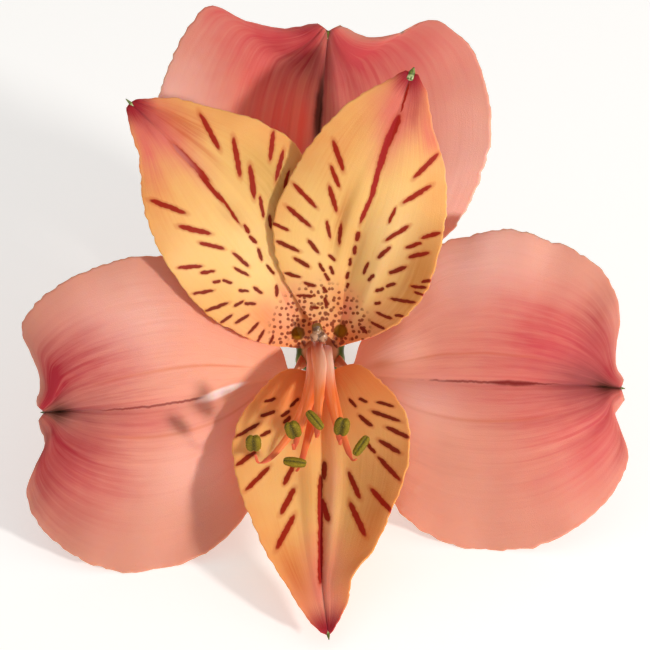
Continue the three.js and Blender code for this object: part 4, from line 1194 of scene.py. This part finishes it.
def anther_mesh(name, stamen, material, rings=34, sides=56):
    """Two pollen sacs side by side, each with a slit, as one closed skin."""
    lengthwise = Vector(stamen["long"]).normalized()
    sideways = Vector(stamen["broad"])
    sideways = (sideways - lengthwise * sideways.dot(lengthwise)).normalized()
    through = sideways.cross(lengthwise)
    middle = Vector(stamen["anther"])
    half_length, half_breadth = ANTHER["length"] / 2, ANTHER["breadth"] / 2
    half_thickness = ANTHER["thickness"] / 2 * ANTHER["bulge"]
    rows = []
    for i in range(rings + 1):
        polar = math.pi * i / rings
        height = -math.cos(polar)
        row = []
        for j in range(sides):
            degrees = 360 * j / sides
            hollow = 1 - grooves(degrees, 0, *SLIT) - grooves(degrees, 90, *SEAM)
            reach = hollow * math.sin(polar) ** ANTHER["bluntness"]
            x = half_breadth * reach * math.cos(math.radians(degrees))
            z = half_thickness * reach * math.sin(math.radians(degrees))
            notch = END_NOTCH[0] * math.exp(-((x / END_NOTCH[1]) ** 2)) * abs(height) ** 4
            y = half_length * height * (1 - notch)
            row.append(TO_ROW @ ((middle + sideways * x + lengthwise * y + through * z) * MM))
        rows.append(row)
    mesh = bmesh.new()
    uv = mesh.loops.layers.uv.new("UVMap")
    skin = [[mesh.verts.new(point) for point in row] for row in rows[1:-1]]
    ends = [mesh.verts.new(sum(row, Vector()) / sides) for row in (rows[0], rows[-1])]
    steps = [(j, (j + 1) % sides) for j in range(sides)]
    faces = [
        ([row[j], after[j], after[k], row[k]], i / rings, j)
        for i, (row, after) in enumerate(zip(skin, skin[1:]), 1)
        for j, k in steps
    ]
    for j, k in steps:
        faces += [([ends[0], skin[0][j], skin[0][k]], 0, j), ([ends[1], skin[-1][k], skin[-1][j]], 1, j)]
    for corners, along, j in faces:
        face = mesh.faces.new(corners)
        face.smooth = True
        for loop in face.loops:
            loop[uv].uv = (along, j / sides)
    bmesh.ops.recalc_face_normals(mesh, faces=mesh.faces)
    data = bpy.data.meshes.new(name)
    mesh.to_mesh(data)
    mesh.free()
    data.materials.append(material)
    return add_object(name, data)


def anther_finish(colours):
    finish = Finish("anther", colours.anther, **{"Specular IOR Level": 0.3})
    along, across = finish.along_and_across()
    turn = abs(across)  # 0 and 1 at the sides' slits, a half at the seam between the sacs
    slit = turn.bell(0, 0.05).most(turn.bell(1, 0.05))
    grit = finish.noise(finish.place(), 6, 3)
    finish.paint(grit.rise(0.35, 0.7) * 0.6, colours.pollen)
    finish.paint(turn.bell(0.5, 0.16).most(slit) * 0.8, colours.groove)
    return finish.complete(0.65 + grit * 0.2, grit, 0.08)


def pollen_recipe():
    inputs = {"Sacs": "Geometry", "Density": 2.4e7, "Grain": 0.035 * MM, "Seed": 5, "Material": "Material"}
    recipe = Recipe("pollen", inputs)
    seed = recipe["Seed"]
    sockets = {"Mesh": recipe["Sacs"], "Density": recipe["Density"], "Seed": seed}
    points = recipe.add("GeometryNodeDistributePointsOnFaces", {}, sockets)
    ball = recipe.add("GeometryNodeMeshIcoSphere", {}, {"Radius": recipe["Grain"], "Subdivisions": 1})
    spread = recipe.add("FunctionNodeRandomValue", {}, {"Min": 0.6, "Max": 1.3, "Seed": seed})
    sockets = {"Points": points, "Instance": ball, "Rotation": points.other("Rotation"), "Scale": spread}
    return recipe.dress(recipe.add("GeometryNodeInstanceOnPoints", {}, sockets))


def pollen_finish(colours):
    finish = Finish("pollen", colours.pollen, **{"Specular IOR Level": 0.2})
    shade = finish.noise(finish.place(), 3, 1)
    finish.paint(shade, colours.anther)
    return finish.complete(0.7 + shade * 0.2)


# Pistil -----------------------------------------------------------------------


def pistil_finish(colours):
    finish = Finish("pistil", colours.style, **translucent(0.3, (1, 0.6, 0.4), 0.4, 0.45))
    place = finish.place()
    up = place.part("Z").rise(-10.5, -8.8)
    finish.paint(up, colours.stigma)
    finish.paint(place.part("Y").rise(2.2, 2.8) * up * 0.9, colours.stigma_top)
    finish.paint(finish.noise(place, 1.3, 2).rise(0.5, 0.6) * up * 0.75, colours.stigma_shade)
    return finish.complete(0.3 - up * 0.12, finish.cells(place, 5))


def grow_pistil(recipe, material):
    seat = Vector(STYLE_TOP) + Vector((0, 0.1, 0))

    def style_girth(share):
        return STYLE["radius"] + STYLE["widening"] * share

    parts = [grow_stem("style", recipe, material, STYLE_ROUTE, style_girth, steps=50)]
    for bearing, reach, girth in STIGMA_LOBES:
        places = ((0, -0.5), (0.45, 0.5), (1, 0.8))
        route = [seat + around(bearing, reach * far, rise) for far, rise in places]
        parts.append(
            grow_stem(
                f"stigma_lobe_{bearing}", recipe, material, route,
                lambda share: girth * (1 - 0.35 * share), side=SOFT_SIDE, steps=16,
            )
        )
    return fused("pistil_skin", parts, STIGMA_DETAIL)


def fused(name, parts, voxel):
    """One closed skin round several pieces of one material."""
    joined = bmesh.new()
    material = parts[0].data.materials[0]
    for part in parts:
        joined.from_mesh(part.data)
        bpy.data.objects.remove(part)
    data = bpy.data.meshes.new(name + "_parts")
    joined.to_mesh(data)
    joined.free()
    carrier = add_object(name + "_parts", data)
    remesh = carrier.modifiers.new("remesh", "REMESH")
    remesh.mode, remesh.voxel_size, remesh.use_smooth_shade = "VOXEL", voxel, True
    smooth = carrier.modifiers.new("smooth", "SMOOTH")
    smooth.factor, smooth.iterations = 0.5, 4
    piece = as_plain(name, carrier)
    piece.data.materials.clear()
    piece.data.materials.append(material)
    return piece


# Stalk and ovary --------------------------------------------------------------


def stalk_points():
    """In the row frame: along the bloom's axis through the ovary, then down and along the floor."""
    x, y, z = HEART / MM
    tilt = math.radians(FACE_TILT)
    back = Vector((0, math.cos(tilt), -math.sin(tilt)))
    top = HEART / MM - back * OVARY_TOP
    lying = STALK["radius"] - STALK["sink"]
    bend = ((0, 6, top.z - 3.7), (0, 10, top.z - 5), (0.1, 17, lying), (0.6, 32, lying), (2, 47, lying))
    route = [Vector((x + aside, top.y + ahead, height)) for aside, ahead, height in bend]
    return [top, top + back * 3.2, *route, Vector((x + 3.2, y + STALK["end"], lying))]


def grow_stalk(recipe, material):
    points = stalk_points()
    whole = Curve(points).length

    def fade(share):
        return 1 - smoothstep(share * whole / OVARY["length"], 0.3, 1.15)

    def girth(share):
        belly = math.sin(math.pi * min(share * whole / OVARY["length"] / 0.6, 1))
        ovary = (OVARY["rim"] + (OVARY["belly"] - OVARY["rim"]) * belly) * fade(share)
        return max(ovary, STALK["radius"])

    return grow_stem(
        "stalk_and_ovary", recipe, material, points, girth, steps=260, Sides=96, Tilted=False,
        flute=lambda share: OVARY["rib_depth"] * fade(share), Ribs=OVARY["ribs"], Slant=STALK["slant"],
    )


def stalk_finish(colours):
    finish = Finish("stalk", colours.stalk, **translucent(0.1, (1, 0.2, 0.1), 0.8, 0.1))
    along, across = finish.along_and_across()
    place = finish.place()
    ovary = along.rise(0.13, 0.09)
    ribs = (across * (math.pi * OVARY["ribs"]) + math.pi * 1.5).sine() * 0.5 + 0.5
    lines = finish.streaks(along * 30, across * 14, 0, 3)
    finish.paint(ribs * ovary, colours.rib)
    finish.paint(ovary * (1 - ribs), colours.ovary)
    finish.paint(finish.noise(place, 0.1, 2).rise(0.45, 0.75) * (1 - ovary) * 0.6, colours.flush)
    finish.paint(lines.rise(0.4, 0.75) * 0.3, colours.ovary)
    # Painted light: the pale disc on the ovary's top brightens the shaded throat.
    finish.paint((place * (1, 1, 0)).length().rise(2.5, 1.9) * place.part("Z").rise(-27, -26), colours.disc)
    finish.paint(along.rise(0.985, 0.99), colours.cut)
    return finish.complete(0.42 + lines * 0.15, lines)


# Stage ------------------------------------------------------------------------


def add_floor(settings):
    uniform = {"Roughness": 0.9, "Specular IOR Level": 0.1}
    uniform |= {"Emission Color": settings.floor, "Emission Strength": settings.floor_glow}
    finish = Finish("floor", settings.floor, **uniform)
    finish.paint(finish.noise(finish.spot(), 900, 2) * 0.05, FLOOR_FLECK)
    half = settings.floor_size / 2
    corners = [(x * half, y * half, -FLOOR_DROP) for x, y in ((-1, -1), (1, -1), (1, 1), (-1, 1))]
    mesh = bpy.data.meshes.new("floor")
    mesh.from_pydata(corners, [], [(0, 1, 2, 3)])
    mesh.materials.append(finish.complete())
    add_object("floor", mesh)


def add_camera():
    data = bpy.data.cameras.new("camera")
    data.sensor_width = SENSOR_WIDTH
    data.lens = SENSOR_WIDTH * CAMERA_DISTANCE / VIEW_WIDTH
    data.clip_start, data.clip_end = 0.01, 10
    camera = add_object("camera", data)
    camera.matrix_world = TO_ROW @ Matrix.Translation(Vector((*CAMERA_AIM, CAMERA_DISTANCE)) * MM)
    bpy.context.scene.camera = camera


def add_key_light(settings):
    """A round soft light that shines on the heart."""
    data = bpy.data.lights.new("key", "AREA")
    data.shape, data.size = "DISK", settings.key_width
    data.energy, data.color = settings.key_power, KEY_TINT
    lamp = add_object("key", data)
    way = (TO_ROW.to_3x3() @ Vector(KEY_DIRECTION)).normalized()
    lamp.location = HEART + way * settings.key_distance
    lamp.rotation_euler = (-way).to_track_quat("-Z", "Y").to_euler()


def add_dome(settings):
    world = bpy.data.worlds.new("studio")
    world.use_nodes = True
    background = world.node_tree.nodes["Background"]
    background.inputs["Color"].default_value = DOME_TINT
    background.inputs["Strength"].default_value = settings.dome
    bpy.context.scene.world = world


# Operators --------------------------------------------------------------------


class BLOOM_OT_outer_petals(bpy.types.Operator):
    """Make the three broad outer petals"""

    bl_idname = "bloom.outer_petals"
    bl_label = "Outer Petals"

    def execute(self, context):
        grow_petals(context.scene, "outer", outer_finish, context.scene.bloom_outer, first_seed=0)
        return {"FINISHED"}


class BLOOM_OT_inner_petals(bpy.types.Operator):
    """Make the three narrow inner petals with their strokes"""

    bl_idname = "bloom.inner_petals"
    bl_label = "Inner Petals"

    def execute(self, context):
        grow_petals(context.scene, "inner", inner_finish, context.scene.bloom_inner, first_seed=10)
        return {"FINISHED"}


class BLOOM_OT_green_points(bpy.types.Operator):
    """Make the hard green ends of the petals"""

    bl_idname = "bloom.green_points"
    bl_label = "Green Points"

    def execute(self, context):
        recipe = stem_recipe()
        material = green_finish(context.scene.bloom_greens)
        for name, shape in PETALS.items():
            radius = green_point_size(name)[1]
            piece = grow_stem(
                name.replace("petal", "point"), recipe, material, green_point_route(name),
                lambda share: radius * (1 - 0.85 * share**1.5), side=SOFT_SIDE, steps=24,
            )
            settle(piece, shape["whorl"] + "_petal")
        return {"FINISHED"}


class BLOOM_OT_stamens(bpy.types.Operator):
    """Make the filaments, the anthers and the pollen on them"""

    bl_idname = "bloom.stamens"
    bl_label = "Stamens"

    def execute(self, context):
        colours = context.scene.bloom_heart
        stem, pollen = stem_recipe(), pollen_recipe()
        stalks, sacs, dust = filament_finish(colours), anther_finish(colours), pollen_finish(colours)
        for number, stamen in enumerate(STAMENS, 1):
            name, route = f"filament_{number}", filament_route(stamen)
            girth = filament_girth(route)
            piece = grow_stem(name + "_stem", stem, stalks, route, girth, steps=110, Flatten=0.5)
            settle(piece, "filament", name)
            name = f"anther_{number}"
            sac = anther_mesh(name + "_sacs", stamen, sacs)
            grains = grow(name + "_pollen", sac.data.copy(), pollen, {"Seed": number, "Material": dust})
            settle(sac, "anther", name)
            settle(grains, "anther")
        return {"FINISHED"}


class BLOOM_OT_pistil(bpy.types.Operator):
    """Make the style with its three-lobed stigma"""

    bl_idname = "bloom.pistil"
    bl_label = "Pistil"

    def execute(self, context):
        piece = grow_pistil(stem_recipe(), pistil_finish(context.scene.bloom_heart))
        settle(piece, "pistil", "pistil")
        return {"FINISHED"}


class BLOOM_OT_stalk(bpy.types.Operator):
    """Make the ribbed ovary with its cut stalk"""

    bl_idname = "bloom.stalk"
    bl_label = "Ovary and Stalk"

    def execute(self, context):
        piece = grow_stalk(stem_recipe(), stalk_finish(context.scene.bloom_greens))
        settle(piece, "stalk", "stalk_with_ovary")
        return {"FINISHED"}


class BLOOM_OT_stage(bpy.types.Operator):
    """Make the pale floor, the soft light and the camera"""

    bl_idname = "bloom.stage"
    bl_label = "Stage"

    def execute(self, context):
        settings = context.scene.bloom_stage
        context.scene.view_settings.view_transform = "Standard"
        add_camera()
        for add in (add_floor, add_dome, add_key_light):
            add(settings)
        return {"FINISHED"}


class BLOOM_PT_panel(bpy.types.Panel):
    """The bloom's pieces and the stage"""

    bl_idname = "BLOOM_PT_panel"
    bl_label = "Alstroemeria Bloom"
    bl_space_type = "VIEW_3D"
    bl_region_type = "UI"
    bl_category = "Bloom"

    def draw(self, context):
        for operator in OPERATORS:
            self.layout.operator(operator.bl_idname)
        for name in SETTINGS:
            box = self.layout.box()
            group = getattr(context.scene, name)
            for key in group.__annotations__:
                box.prop(group, key)


OPERATORS = [
    BLOOM_OT_stage,
    BLOOM_OT_outer_petals,
    BLOOM_OT_inner_petals,
    BLOOM_OT_green_points,
    BLOOM_OT_stamens,
    BLOOM_OT_pistil,
    BLOOM_OT_stalk,
]
SETTINGS = {
    "bloom_petals": PetalSettings,
    "bloom_outer": OuterColours,
    "bloom_inner": InnerColours,
    "bloom_heart": HeartColours,
    "bloom_greens": GreenColours,
    "bloom_stage": StageSettings,
}


def register():
    for cls in [*SETTINGS.values(), *OPERATORS, BLOOM_PT_panel]:
        bpy.utils.register_class(cls)
    for name, group in SETTINGS.items():
        setattr(bpy.types.Scene, name, PointerProperty(type=group))


def unregister():
    for name in SETTINGS:
        delattr(bpy.types.Scene, name)
    for cls in reversed([*SETTINGS.values(), *OPERATORS, BLOOM_PT_panel]):
        bpy.utils.unregister_class(cls)


def main():
    register()
    bpy.ops.bloom.stage()
    bpy.ops.bloom.outer_petals()
    bpy.ops.bloom.inner_petals()
    bpy.ops.bloom.green_points()
    bpy.ops.bloom.stamens()
    bpy.ops.bloom.pistil()
    bpy.ops.bloom.stalk()


if __name__ == "__main__":
    main()
